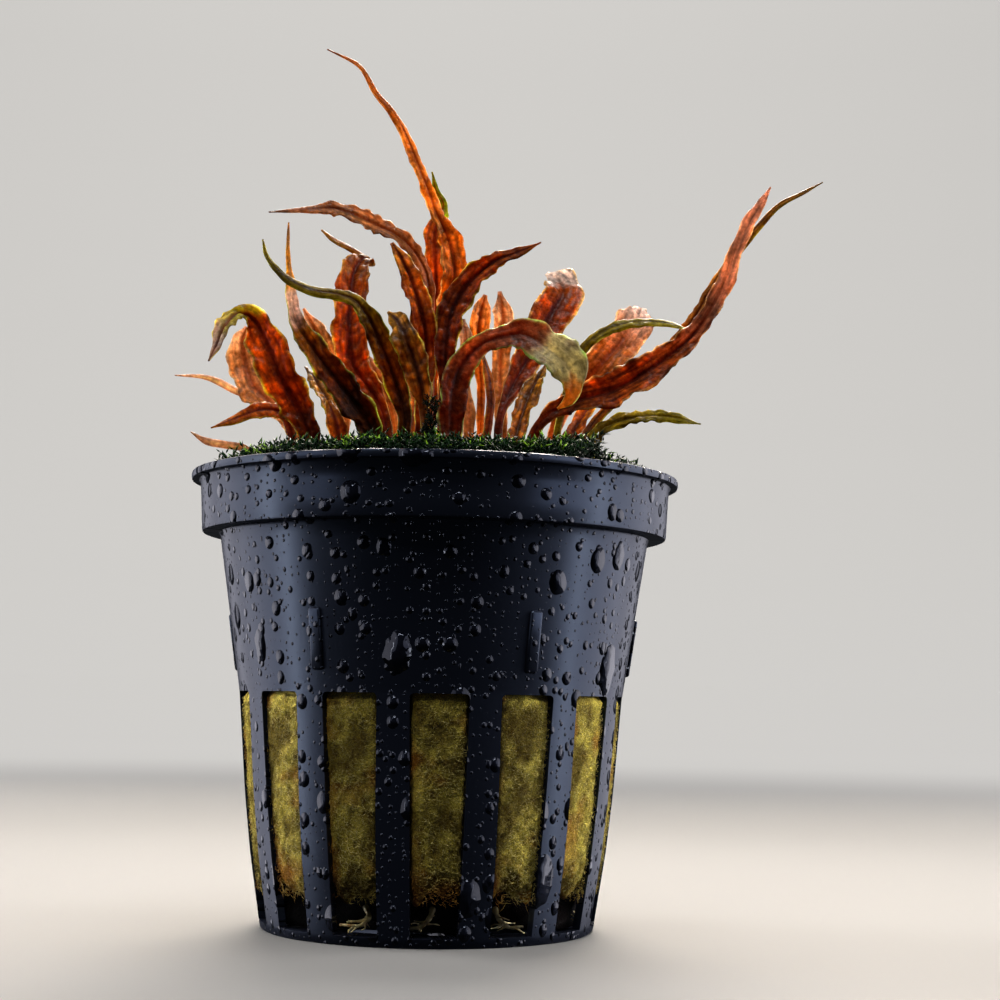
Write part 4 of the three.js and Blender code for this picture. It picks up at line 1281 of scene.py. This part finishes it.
@dataclass(frozen=True)
class Leaf:
    """One strap leaf: a stalk that widens into a folded, ruffled and blistered blade.

    Attributes:
        tissue: its colouring.
        root: where it leaves the plant, under the moss.
        route: points on its midrib after that.
        widths: its width at the root and at each of those points.
        faces: which way its upper side looks at the root and at the tip.
        fold: how far the margins rise, as a part of the half width.
        ruffle: how far the margins wave.
        blister: how tall the blisters between its veins are.
        crimp: how uneven its outline is, as a part of what most of the leaves have.
    """

    tissue: Tissue
    root: Pair
    route: tuple[Triple, ...]
    widths: tuple[float, ...]
    faces: tuple[Triple, Triple]
    fold: float = 0.3
    ruffle: float = 0.25
    blister: float = 0.32
    crimp: float = 1.0
    root_z: float = 50.9
    stalk_thickness: float = 0.85
    blade_thickness: float = 0.24
    ruffle_length: float = 5.6
    row_spacing: float = 0.34
    fewest_rows: int = 12
    half_columns: int = 9
    vein_spacing: float = 1.35
    phase_step: float = 1.7

    def build(self, number: int) -> None:
        """Builds the leaf and puts it in the CAD leaf's place.

        Args:
            number: the number in the CAD leaf's name, which also sets the phase of the leaf's waves.
        """
        curve = spline(np.array([(*self.root, self.root_z), *self.route], float))
        reach = np.append(0, np.cumsum(np.linalg.norm(np.diff(curve, axis=0), axis=1)))
        rows = max(self.fewest_rows, round(reach[-1] / self.row_spacing)) + 1
        distance = np.linspace(0, reach[-1], rows)
        centre = np.stack([np.interp(distance, reach, line) for line in curve.T], 1)
        part = distance[:, None] / distance[-1]
        width = eased(self.widths, np.interp(distance, reach, np.linspace(0, 1, len(curve))))[:, None]
        forward = unit(np.gradient(centre, axis=0))
        at_root, at_tip = np.array(self.faces, float)
        across = unit(np.cross(forward, at_root * (1 - part) + at_tip * part))
        facing = unit(np.cross(across, forward))
        u, s = np.linspace(-1, 1, 2 * self.half_columns + 1), distance[:, None]
        phase = self.phase_step * (number - 1)
        upper, lower, blister = self.surfaces(u, s, part, width, phase)
        aside = width / 2 * self.crimped(u, s, phase) * u
        back = slice(-2, 0, -1)
        aside, stand, blister, round_u = (
            np.concatenate([top, low[..., back]], -1)
            for top, low in ((aside, aside), (upper, lower), (blister, blister), (u, u))
        )
        rings = centre[:, None] + across[:, None] * aside[..., None] + facing[:, None] * stand[..., None]
        grids = {
            "along": (part, 1.0),
            "across": (np.abs(round_u), 0.0),
            "blister": (blister, 0.0),
            "run": (s, reach[-1]),
            "off": (round_u * width / 2, 0.0),
        }
        attributes = {
            label: np.append(np.broadcast_to(grid, aside.shape), [0.0, tip])
            for label, (grid, tip) in grids.items()
        }
        node, tissue = f"leaf_{number:02}", self.tissue.value
        leaf = mesh_object(f"{node}_blade", loft(rings), attributes)
        hand_over(leaf, node, tissue.material(node))

    def crimped(self, u: np.ndarray, s: np.ndarray, phase: float) -> np.ndarray:
        """How far each column reaches sideways, with a crimped outline at the margins.

        Args:
            u: the columns from -1 at the left margin to 1 at the right.
            s: the rows' distances from the root.
            phase: the phase of the leaf's waves.

        Returns:
            A factor on the half width for each row and column.
        """
        side = np.where(u < 0, 0.0, 1.9)
        wave = np.sin(FULL_TURN * s / 1.9 + side + phase + 1.4 * np.sin(s * 0.8 + phase))
        wave = wave + 0.35 * np.sin(FULL_TURN * s / 0.93 + 2 * side)
        lobes = np.sin(FULL_TURN * s / 4.7 + 1.6 * side + 3 * phase)
        lobes = lobes + 0.7 * np.sin(FULL_TURN * s / 2.9 - 2.3 * side + phase)
        return 1 + self.crimp * (0.035 * wave + 0.08 * lobes) * np.abs(u) ** 3

    def surfaces(
        self, u: np.ndarray, s: np.ndarray, part: np.ndarray, width: np.ndarray, phase: float
    ) -> tuple[np.ndarray, np.ndarray, np.ndarray]:
        """Works out how far the blade's two sides stand off its middle.

        Args:
            u: the columns from -1 to 1.
            s: the rows' distances from the root.
            part: the same as a part of the length.
            width: the rows' widths.
            phase: the phase of the leaf's waves.

        Returns:
            The upper side's and the lower side's height, and how much of a blister is there.
        """
        away, side = np.abs(u), np.where(u < 0, 0.0, 2.2)
        off = away * width / 2
        blade = np.clip((width - 1) / 1.2, 0, 1)
        rise = self.fold * blade * width * 0.5 * away**1.3
        wave = self.ruffle * blade * np.sin(FULL_TURN * s / self.ruffle_length + side) * away**2
        crisp = np.sin(FULL_TURN * s / 1.7 + side + 1.5 * np.sin(0.9 * s + phase))
        crisp = 0.22 * blade * crisp * away**4
        vein = (s - 0.7 * off) / self.vein_spacing + np.where(u < 0, 0.0, 0.43)
        vein = vein + 0.22 * np.sin(1.7 * s + phase) + 0.12 * np.sin(5.3 * off + phase)
        row = off / 0.95 + 0.25 * np.sin(1.1 * s + 2 * phase + side)
        puff = np.abs(np.sin(math.pi * vein)) ** 1.1 * np.abs(np.sin(math.pi * row)) ** 0.8
        puff = puff * (0.75 + 0.25 * np.sin(2.9 * s + 3 * u + phase))
        puff = puff * np.clip((1 - away) / 0.12, 0, 1) * np.clip((away - 0.06) / 0.1, 0, 1)
        groove = -0.14 * blade * np.exp(-((away / 0.13) ** 2))
        middle = rise + wave + crisp + self.blister * blade * puff + groove
        body = self.stalk_thickness + (self.blade_thickness - self.stalk_thickness) * blade
        body = np.minimum(body, body * 3.5 * (1 - part) + 0.12)
        thickness = body * np.sqrt(np.clip(1 - away**2, 0, 1)) ** (1 - 0.6 * blade)
        keel = 0.32 * blade * np.exp(-((away / 0.15) ** 2)) * np.clip(4 * (1 - part), 0.1, 1)
        return middle + thickness / 2, middle - thickness / 2 - keel, puff * blade


# The leaves of leaf_01 to leaf_36: colouring, root, route, widths, ways it faces, and what differs in form
LEAVES = (
    Leaf(Tissue.GOLD_TIP, (-13, -7),
         ((-14.5, -7, 55), (-15.5, -7, 57), (-17.5, -8, 60.5), (-19, -8, 64), (-20.4, -8, 66.5),
          (-22, -9, 66.8), (-23.2, -10.2, 65.2), (-23.9, -11, 63), (-24.7, -12, 61)),
         (1.4, 2.6, 3.9, 4.3, 4.3, 2.7, 2.2, 2.2, 1.7, 0.3), ((0.15, -1, 0.1), (-0.6, -0.8, 0.2))),
    Leaf(Tissue.SALMON, (-15.5, 1),
         ((-17, 2, 56.5), (-19.5, 3, 59), (-21.4, 4, 61), (-22.6, 5, 64), (-22.9, 5, 66.4), (-22.5, 5, 68.2)),
         (1, 1.8, 3, 4, 4.1, 3.2, 0.5), ((0, -1, 0.1), (0.2, -1, 0)), 0.2),
    Leaf(Tissue.BLUSH, (-15, 6),
         ((-17.3, 7, 57.7), (-19.2, 7.3, 59.2), (-21.3, 7, 60), (-23.8, 6, 60.8), (-25.6, 5, 61.6),
          (-27.2, 4.2, 62), (-30.4, 3, 61.9)),
         (0.9, 0.8, 0.9, 0.9, 0.8, 0.7, 0.6, 0.2), ((0.4, -0.5, 1), (0, -0.4, 1)), 0.3, 0.1),
    Leaf(Tissue.RUSSET, (-15.5, -3),
         ((-16.8, -3, 56), (-17.8, -3, 57), (-19.6, -4, 57), (-22.2, -6, 55.6), (-24.7, -8, 54.3)),
         (0.9, 1.2, 1.7, 2, 1.2, 0.2), ((0, -1, 0), (0, -1, 0.4)), 0.2, 0.2),
    Leaf(Tissue.BLUSH, (-20, -6),
         ((-21, -7, 52.2), (-23, -8.5, 52.4), (-25, -10, 52.6), (-26.5, -11, 53.4)),
         (0.7, 0.7, 0.7, 0.6, 0.2), ((0, -0.3, 1), (0, -0.3, 1)), 0.2, 0.1),
    Leaf(Tissue.PLUM, (-1, 6),
         ((-1, 4.5, 62), (-1.2, 2, 70), (-1.7, 1, 74), (-3.4, 0, 76.8), (-5, -0.7, 78.1), (-7.5, -1, 79.2),
          (-10, -2, 80.1), (-12.3, -2, 80.7), (-14.4, -3, 80.3), (-16.5, -4, 79.9), (-19.3, -6, 79.1)),
         (1, 1.2, 1.5, 1.8, 2.1, 2.4, 2.6, 2.6, 2.1, 1.2, 0.7, 0.2), ((0.7, -1, 0.2), (0.2, -1, 0.6)),
         0.15, 0.15, 0.08, 0.35),
    Leaf(Tissue.CURLED_TIP, (-5, -5),
         ((-6.2, -5, 57), (-7.6, -5, 59.5), (-9.5, -5, 62), (-10, -5, 65.5), (-10, -4, 70), (-9.8, -3, 73),
          (-8.9, -1.2, 75), (-8, 1, 75.2), (-9.1, 2, 76.2), (-10.9, 1.7, 77.2), (-12.4, 1, 77.8),
          (-13.8, 0.3, 78.8)),
         (1, 1.6, 2.6, 3.7, 4, 3.8, 3.4, 2.2, 1, 0.8, 1, 1.1, 0.4), ((0, -1, 0), (0.3, -1, 0.9)),
         0.35, 0.2, 0.42),
    Leaf(Tissue.ROSE_TIP, (-6.5, -10),
         ((-7.5, -10, 54.8), (-9.2, -11, 57), (-11.6, -12, 60), (-13.5, -13, 62.4), (-15, -13, 64.7),
          (-15.8, -12, 67), (-16.2, -11, 69.5), (-16.6, -10, 72.3), (-16.8, -9.5, 75), (-16.8, -9, 77.2)),
         (1.4, 2.8, 3.5, 3.2, 2.8, 1.9, 1.4, 1.2, 0.6, 0.4, 0.2), ((0.1, -1, 0.1), (0.3, -1, 0)),
         0.35, 0.2),
    Leaf(Tissue.OLIVE, (-3.5, -7.5),
         ((-3.6, -8.5, 56), (-4.4, -9, 59), (-5.6, -10, 62), (-6.8, -11.3, 64.6), (-8, -12.3, 66.6),
          (-9.3, -13, 67.8), (-11.3, -13.7, 68.2), (-13.9, -14, 68.5), (-16.2, -14, 69.6),
          (-17.6, -14, 70.8), (-18.7, -14, 72.3), (-19.1, -14, 74)),
         (1, 1.6, 2.5, 2.7, 2.5, 2.1, 1.6, 1.3, 1.2, 1, 0.8, 0.5, 0.2), ((-0.2, -1, 0), (0.2, -1, 0.5)),
         0.3, 0.2),
    Leaf(Tissue.BRONZE, (-1, -11),
         ((-1.4, -11, 56), (-1.9, -11.7, 59), (-2.8, -11.8, 62), (-3.7, -12.2, 64.2), (-4.6, -11, 66.1),
          (-5.6, -9.8, 67.3)),
         (1, 1, 2.5, 3.2, 3, 2, 0.4), ((0, -1, 0), (-0.3, -1, 0.3)), 0.2, 0.35),
    Leaf(Tissue.FLAME, (0.5, 0),
         ((0.8, 0, 61.5), (0.9, 0, 67.5), (1.2, 0, 70.7), (1.7, -0.7, 73.3), (1.4, -1, 75.8),
          (0.6, -1, 78.3), (-0.5, -2, 80.2), (-1.3, -2, 82.2), (-3, -3, 86), (-4.2, -3, 88.8),
          (-5.9, -4, 91.6), (-7.7, -4, 93.7), (-9.6, -5, 96.5), (-13.3, -6, 98.1)),
         (1, 1.6, 2.3, 2.9, 3.2, 3.1, 2.5, 1.8, 1.6, 1.5, 1.3, 1, 0.8, 0.6, 0.2),
         ((-0.2, -1, 0), (0.6, -0.8, 0.3)), 0.35, 0.3),
    Leaf(Tissue.GREEN_TIP, (-1, 10),
         ((-0.6, 9, 62), (-0.5, 8, 69), (-0.5, 6, 74), (-0.6, 5, 77.2), (-0.7, 5, 79.6), (-0.2, 5, 82),
          (0.2, 5, 83.4), (-0.7, 4, 84.9), (-1.2, 3, 86.8)),
         (1, 1.6, 2, 2.5, 2.6, 2.5, 1.9, 1.1, 0.8, 0.2), ((0, -1, 0.1), (0, -1, 0)), 0.25, 0.3),
    Leaf(Tissue.RUSSET, (-2, -3.5),
         ((-1.7, -4, 59), (-1.4, -4, 64), (-1.9, -5, 67.7), (-2.9, -5, 71), (-4.3, -5, 74.2),
          (-5.5, -5, 76.2)),
         (1, 1.8, 2.5, 2.8, 2.6, 1.9, 0.5), ((0.2, -1, 0), (0.2, -1, 0.2)), 0.35, 0.2),
    Leaf(Tissue.GARNET, (1.5, -5),
         ((1, -5.7, 59), (0.8, -6.3, 64), (1.2, -6.3, 67.2), (2.3, -6.2, 70), (4.2, -6.6, 72.4),
          (6.3, -7.4, 73.9), (8.4, -8, 74.6), (11.1, -9, 75.7)),
         (1.1, 1.6, 2.4, 3.1, 3.4, 2.9, 2, 1.4, 0.2), ((0, -1, 0), (-0.2, -1, 0.3))),
    Leaf(Tissue.FRONT, (1.5, -13),
         ((1.5, -14, 56), (1.9, -14.2, 59), (3, -14.3, 61.5), (4.7, -15, 63), (6.7, -15.3, 63.7),
          (9, -15.6, 63.9), (11, -16, 62.9), (12.9, -16.2, 61.5), (14, -16.3, 60), (14.3, -16.3, 58.4),
          (13.9, -16.2, 57), (12.7, -16, 56)),
         (2.3, 2.9, 3.2, 2.9, 2.2, 2.7, 3.6, 4.4, 4.9, 4, 2.2, 1.3, 0.3),
         ((0.3, -1, 0.1), (0.1, -1, 0.3)), 0.15, 0.35, 0.1, 0.6),
    Leaf(Tissue.CAPPED, (6.5, -9),
         ((7, -8.2, 56.5), (8.4, -7, 60), (9.7, -6, 62.7), (11.4, -5, 66.2), (12.9, -4, 69),
          (14, -3, 71.2), (13.8, -1.2, 73), (12.3, 0, 74.3)),
         (0.9, 1, 2.1, 3.3, 4.2, 4.7, 4.6, 3.9, 0.6), ((0, -1, 0.1), (0.1, -1, 0.2)), 0.25, 0.2, 0.25, 0.6),
    Leaf(Tissue.RUSSET, (4.8, -6), ((5.9, -5, 57.5), (5.7, -4, 61), (5, -3, 64)),
         (0.9, 1, 1.1, 0.4), ((0.2, -1, 0), (0.2, -1, 0)), 0.3, 0.15),
    Leaf(Tissue.SALMON, (7.7, 1),
         ((7.3, 2, 59.7), (7.2, 3, 63.3), (7.3, 3, 67), (7.4, 3, 70), (7, 3, 72.7)),
         (0.9, 1.6, 2, 2.4, 2.5, 0.5), ((-0.2, -1, 0), (0.2, -1, 0)), 0.25),
    Leaf(Tissue.FLAME, (4.9, 4),
         ((5, 3.2, 61), (4.5, 2, 65.5), (4.6, 1.2, 67.8), (4.8, 1, 70), (5.3, 1, 71.8)),
         (0.9, 1, 1.6, 2.5, 2.4, 0.5), ((0, -1, 0), (0.3, -1, 0)), 0.3, 0.35),
    Leaf(Tissue.SALMON, (3.4, -9),
         ((3.5, -8, 56.5), (3.1, -7, 59.3), (2.9, -4, 63.2), (3, -2.8, 66.3), (2.7, -2.3, 68.2)),
         (0.9, 1.4, 1.1, 1, 1.5, 0.5), ((0, -1, 0), (0, -1, 0.2)), 0.25, 0.2),
    Leaf(Tissue.PALE_TIP, (12.5, 3),
         ((14.3, 3, 58.2), (16.6, 3, 61.4), (19, 3, 64.3), (21.3, 4, 67), (23, 5, 69.7), (23.9, 7, 72)),
         (1, 1.6, 3.6, 4.6, 4.8, 4.7, 1.6), ((0, -1, 0.1), (0, -1, 0.5)), 0.2, 0.3, 0.25, 0.5),
    Leaf(Tissue.GREEN, (12.8, -4),
         ((14, -5, 58), (15.1, -6.7, 62), (16.2, -8, 64.2), (18.1, -8, 65.8), (20.3, -8, 66.7),
          (23, -8, 67.1), (25.5, -8, 67), (27.8, -9, 66.2)),
         (0.8, 0.9, 1, 1.2, 1.4, 1.5, 1.4, 1.1, 0.2), ((0.3, -1, 0.4), (0, -0.9, 1)), 0.25, 0.15),
    Leaf(Tissue.COPPER, (9.3, -8),
         ((11.3, -9, 55.4), (13.5, -9, 57.2), (15.8, -10, 58), (18.8, -11, 58.8), (21.8, -12, 60.3),
          (24.6, -12, 62.3), (26.6, -12, 64), (28.2, -12, 65.8), (29.8, -12, 68.3), (31.3, -12, 71.4),
          (32.3, -12, 74.5), (33.7, -12, 77.6), (35, -12, 79.9), (36.1, -12, 81.8)),
         (0.9, 1.3, 2.1, 3.2, 4.1, 3.9, 3.1, 2.4, 2, 1.9, 2.1, 1.5, 1.6, 1, 0.2),
         ((0, -1, 0.3), (-0.3, -1, 0.1)), 0.4, 0.3, 0.2),
    Leaf(Tissue.BRONZE, (14.5, 8),
         ((19.5, 9, 59.2), (25.4, 9, 64.7), (30, 8, 70.1), (33.4, 7, 76), (35.8, 6, 79.3), (38, 5, 82),
          (40, 4, 84.1), (42.6, 3, 85.4), (44.8, 2, 86.5)),
         (0.9, 1.3, 1.8, 1.8, 1.3, 1.1, 1, 0.9, 0.7, 0.2), ((0, -0.8, 0.6), (-0.5, -0.8, 0.6)),
         0.3, 0.2),
    Leaf(Tissue.GREEN, (16.5, -4.8),
         ((17.9, -5, 54.9), (19.6, -6, 56), (21.6, -7, 56.5), (23.7, -8, 56.6), (26.2, -9, 56.3),
          (28.8, -10, 55.6)),
         (1, 1.9, 2, 2, 2, 1.6, 0.2), ((0, -1, 0.5), (0, -0.9, 0.8)), 0.15, 0.2),
    Leaf(Tissue.SALMON, (-10.5, 3),
         ((-11.2, 4, 60), (-12.8, 4, 64.3), (-14.3, 4, 67.7), (-15.9, 4, 70.3)),
         (0.9, 1.7, 2.7, 2.2, 0.4), ((0.2, -1, 0), (0, -1, 0)), 0.25),
    Leaf(Tissue.EMBER, (-10.3, -9.3), ((-11, -9.3, 54.8), (-12, -8.3, 57.6)),
         (1.3, 2.1, 0.7), ((0, -1, 0), (0, -1, 0)), 0.3, 0.15),
    Leaf(Tissue.SALMON, (-4.1, 2), ((-5.7, 2, 59.5), (-7.3, 2, 62.7), (-8.3, 3, 64.8)),
         (0.9, 1.5, 2.2, 0.5), ((0, -1, 0), (0.2, -1, 0)), 0.25, 0.2),
    Leaf(Tissue.BRONZE, (-10.5, 9), ((-12.5, 13, 59), (-14.5, 16.5, 63), (-16.5, 18.5, 66)),
         (1, 2, 2.6, 0.4), ((0.2, -1, 0.5), (0.3, -0.8, 0.8))),
    Leaf(Tissue.RUSSET, (-6, 10), ((-7, 14, 59), (-8, 17, 64), (-9.5, 19, 68.5)),
         (1, 2.2, 2.8, 0.4), ((0, -1, 0.4), (0.2, -0.8, 0.6))),
    Leaf(Tissue.FLAME, (-3.3, 13), ((-3, 16, 59), (-2.4, 19, 65), (-1.2, 21, 70)),
         (1, 2, 2.6, 0.4), ((0, -1, 0.4), (-0.2, -0.8, 0.6))),
    Leaf(Tissue.RUSSET, (2, 12), ((2.1, 16, 59), (2, 19, 64.5), (1.6, 20, 69)),
         (1, 2, 2.4, 0.4), ((0, -1, 0.4), (0, -0.8, 0.6))),
    Leaf(Tissue.BRONZE, (8.7, 11), ((10, 15, 58.5), (11.7, 18, 63.5), (13.7, 20, 67.5)),
         (1, 2.2, 2.8, 0.4), ((0, -1, 0.4), (-0.3, -0.8, 0.7))),
    Leaf(Tissue.EMBER, (14, 12.2), ((17, 15, 58.5), (20, 17, 63), (23.3, 19, 67)),
         (1, 2, 2.6, 0.4), ((0, -1, 0.5), (-0.3, -0.8, 0.8))),
    Leaf(Tissue.OLIVE, (-8, 14.2), ((-9.8, 19, 56), (-11.6, 23.5, 58), (-12.8, 27.5, 57)),
         (1, 2, 2.6, 0.4), ((0, 0.4, 1), (0.2, 0.6, 1))),
    Leaf(Tissue.RUSSET, (6, 14.5), ((7.7, 19, 56.5), (9.6, 23.5, 59), (11, 27.5, 58.5)),
         (1, 2, 2.8, 0.4), ((0, 0.4, 1), (-0.2, 0.6, 1))),
)

# The routes of root_1 to root_7
ROOTS = (
    ((7, -13.4, 3.7), (7.5, -14.2, 2.6), (8.4, -14.5, 1.9), (10, -13.5, 1.8)),
    ((4.6, -14, 3.7), (5.2, -15, 2.8), (5.6, -15.6, 1.9), (3.4, -15.9, 1.8)),
    ((0.6, -14.6, 3.7), (0.2, -15.4, 2.7), (-0.8, -15.9, 1.9), (-2.8, -15.5, 1.8)),
    ((-6.4, -13.4, 3.7), (-6, -14.4, 2.6), (-6.8, -14.9, 1.9), (-9, -13.6, 1.8)),
    ((-14, -5, 3.7), (-14.9, -5.6, 2.6), (-15.2, -4.3, 1.9), (-15.4, -2, 1.8)),
    ((13.8, -5.6, 3.7), (14.6, -6.2, 2.7), (15.1, -4.9, 1.9), (15.4, -2.6, 1.8)),
    ((-5, 13.6, 3.7), (-5.5, 14.6, 2.6), (-4.4, 15.3, 1.9), (-1.8, 15.6, 1.8)),
)


# Studio


class Use(Enum):
    """What a lamp is for: all surfaces, only their gloss, or only what isn't gloss."""

    ALL = "all"
    GLOSS = "gloss"
    FILL = "fill"


@dataclass(frozen=True)
class Lamp:
    """A soft box.

    Attributes:
        name: its name.
        place: where it hangs, in metres.
        target: the point that it faces, in metres.
        size: its width and height, in metres.
        watts: its power.
        use: what it is for.
        tint: its colour.
        spread: how wide its beam opens, in degrees.
    """

    name: str
    place: Triple
    target: Triple
    size: Pair
    watts: float
    use: Use
    tint: str = "#ffffff"
    spread: float = 180.0

    def hang(self) -> None:
        """Adds the lamp to the scene."""
        data = bpy.data.lights.new(self.name, "AREA")
        data.shape = "RECTANGLE"
        data.size, data.size_y = self.size
        data.energy = self.watts
        data.spread = math.radians(self.spread)
        data.color = linear(self.tint)[:3]
        box = bpy.data.objects.new(self.name, data)
        box.location = self.place
        way = Vector(self.target) - Vector(self.place)
        box.rotation_euler = way.to_track_quat("-Z", "Y").to_euler()
        box.visible_camera = False
        box.visible_glossy = self.use is not Use.FILL
        box.visible_diffuse = self.use is not Use.GLOSS
        box.visible_transmission = self.use is not Use.GLOSS
        bpy.context.scene.collection.objects.link(box)


COOL = "#f4f2ff"
LAMPS = (
    Lamp("left soft box", (-0.42, 0.1, 0.16), (0, 0.1, 0.16), (0.45, 0.58), 1.4, Use.GLOSS, COOL),
    Lamp("right soft box", (0.42, 0.1, 0.16), (0, 0.1, 0.16), (0.45, 0.58), 1.6, Use.GLOSS, COOL),
    Lamp("left collar box", (-0.38, -0.22, 0.19), (0, 0, 0.19), (0.2, 0.32), 0.34, Use.GLOSS, COOL),
    Lamp("right collar box", (0.38, -0.2, 0.19), (0, 0, 0.19), (0.2, 0.32), 0.5, Use.GLOSS, COOL),
    Lamp("left strip", (-0.42, -0.04, 0.05), (0, 0, 0.03), (0.02, 0.3), 0.25, Use.GLOSS),
    Lamp("right strip", (0.42, -0.05, 0.05), (0, 0, 0.03), (0.02, 0.3), 0.18, Use.GLOSS),
    Lamp("left rear box", (-0.42, 0.6, 0.16), (0, 0.6, 0.16), (0.5, 0.58), 0.9, Use.GLOSS, COOL),
    Lamp("right rear box", (0.42, 0.6, 0.16), (0, 0.6, 0.16), (0.5, 0.58), 0.95, Use.GLOSS, COOL),
    Lamp("lamp behind", (0.05, 0.42, 0.42), (0, 0, 0.07), (0.4, 0.25), 1.75, Use.ALL, "#fff4e6", 60),
    Lamp("lamp above left", (-0.22, -0.34, 0.5), (0, 0, 0.05), (0.07, 0.07), 0.6, Use.ALL),
    Lamp("glint box", (0.1, -0.2, 0.6), (0, 0, 0.03), (0.3, 0.12), 4.0, Use.GLOSS),
    Lamp("rear backdrop lamp", (0, 0.45, 1.3), (0, 0.95, 0.25), (0.9, 0.5), 30, Use.FILL),
    Lamp("front backdrop lamp", (0, -0.45, 1.3), (0, -0.95, 0.25), (0.9, 0.5), 20, Use.FILL),
    Lamp("left fill", (-0.42, 0.18, 0.13), (0, 0, 0.03), (0.2, 0.24), 1.6, Use.FILL, spread=90),
    Lamp("right fill", (0.42, 0.08, 0.13), (0, 0, 0.03), (0.2, 0.24), 1.15, Use.FILL, spread=90),
)


@dataclass(frozen=True)
class Studio:
    """The floor that sweeps up into a backdrop all round, the sky and the camera.

    Its sizes and places are in metres, its angles in degrees.
    """

    floor_radius: float = 0.55
    sweep_radius: float = 0.7
    wall_top: float = 1.6
    columns: int = 96
    paper: str = "#a09e9b"
    painted_shade_paper: str = "#605e5b"
    painted_shade_fade: Pair = (0.15, 0.6)
    sky: str = "#dfe3ee"
    sky_strength: float = 0.035
    camera_place: Triple = (0.0, -0.212, 0.02532)
    camera_pitch: float = 6.07
    camera_yaw: float = 1.98
    camera_roll: float = 0.97
    lens: float = 67.46
    clip: Pair = (0.01, 10.0)

    def backdrop(self) -> None:
        """Makes the floor, which curves up into a wall all round, and keeps it out of the object's
        reflections, bounce light and shadows.
        """
        lift = np.linspace(0, math.pi / 2, 13)
        sweep = self.floor_radius + self.sweep_radius * np.sin(lift)
        radii = [0.05, self.floor_radius / 2, *sweep, self.floor_radius + self.sweep_radius]
        heights = [0.0, 0.0, *(self.sweep_radius * (1 - np.cos(lift))), self.wall_top]
        rings = [polar(turns(self.columns), r / MM, z / MM) for r, z in zip(radii, heights)]
        points, faces = loft(rings)
        sheet = mesh_object("studio_floor", (points[:-1], faces[: -self.columns]))
        # The paper gives the eye a plain grey without gloss, darker round the pot as a painted shade.
        material, add = blank_material("matt paper")
        away = add("VectorMath", add("TexCoord").outputs["Object"], operation="LENGTH")
        pale = add("MapRange", away, *self.painted_shade_fade, interpolation_type="SMOOTHSTEP")
        tone = add("Mix", pale, self.painted_shade_paper, self.paper, data_type="RGBA")
        add("OutputMaterial", add("BsdfPrincipled", named={"Base Color": tone, "Roughness": 0.9}))
        sheet.data.materials.append(material)
        sheet.visible_glossy = False
        sheet.visible_diffuse = False
        sheet.visible_shadow = False

    def light(self) -> None:
        """Sets the sky and hangs the lamps."""
        world = bpy.data.worlds.new("studio sky")
        world.use_nodes = True
        world.node_tree.nodes.clear()
        glow = add_node(world.node_tree, "Background", self.sky, self.sky_strength)
        add_node(world.node_tree, "OutputWorld", glow)
        bpy.context.scene.world = world
        for lamp in LAMPS:
            lamp.hang()

    def camera(self) -> None:
        """Stands the camera low in front of the pot, looking up a little, as the photograph was taken."""
        data = bpy.data.cameras.new("camera")
        data.lens = self.lens
        data.clip_start, data.clip_end = self.clip
        camera = bpy.data.objects.new("camera", data)
        aim = Matrix.Rotation(math.radians(-self.camera_yaw), 4, "Z")
        aim = aim @ Matrix.Rotation(math.radians(90 + self.camera_pitch), 4, "X")
        aim = aim @ Matrix.Rotation(math.radians(self.camera_roll), 4, "Z")
        camera.matrix_world = Matrix.Translation(Vector(self.camera_place)) @ aim
        bpy.context.scene.collection.objects.link(camera)
        bpy.context.scene.camera = camera

    def build(self) -> None:
        """Sets up the camera, the floor and the light."""
        self.camera()
        self.backdrop()
        self.light()
        bpy.context.scene.view_settings.view_transform = "Standard"


def main() -> None:
    """Builds the looks of the whole object, piece by piece."""
    logging.basicConfig(level=logging.INFO, format="%(name)s: %(message)s")
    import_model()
    draw = np.random.default_rng(SEED)
    Studio().build()
    pot = Pot.from_frame()
    pot.build(MouldedPolypropylene().material())
    RockWool(pot).build(SpunRockWool().material(), draw)
    Moss().build(LivingMoss().material(), draw)
    skin = RootSkin().material()
    for number, route in enumerate(ROOTS, 1):
        Root(f"root_{number}", route).build(skin, draw)
    for number, leaf in enumerate(LEAVES, 1):
        leaf.build(number)
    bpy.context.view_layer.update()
    LOG.info("the object is built")


if __name__ == "__main__":
    main()
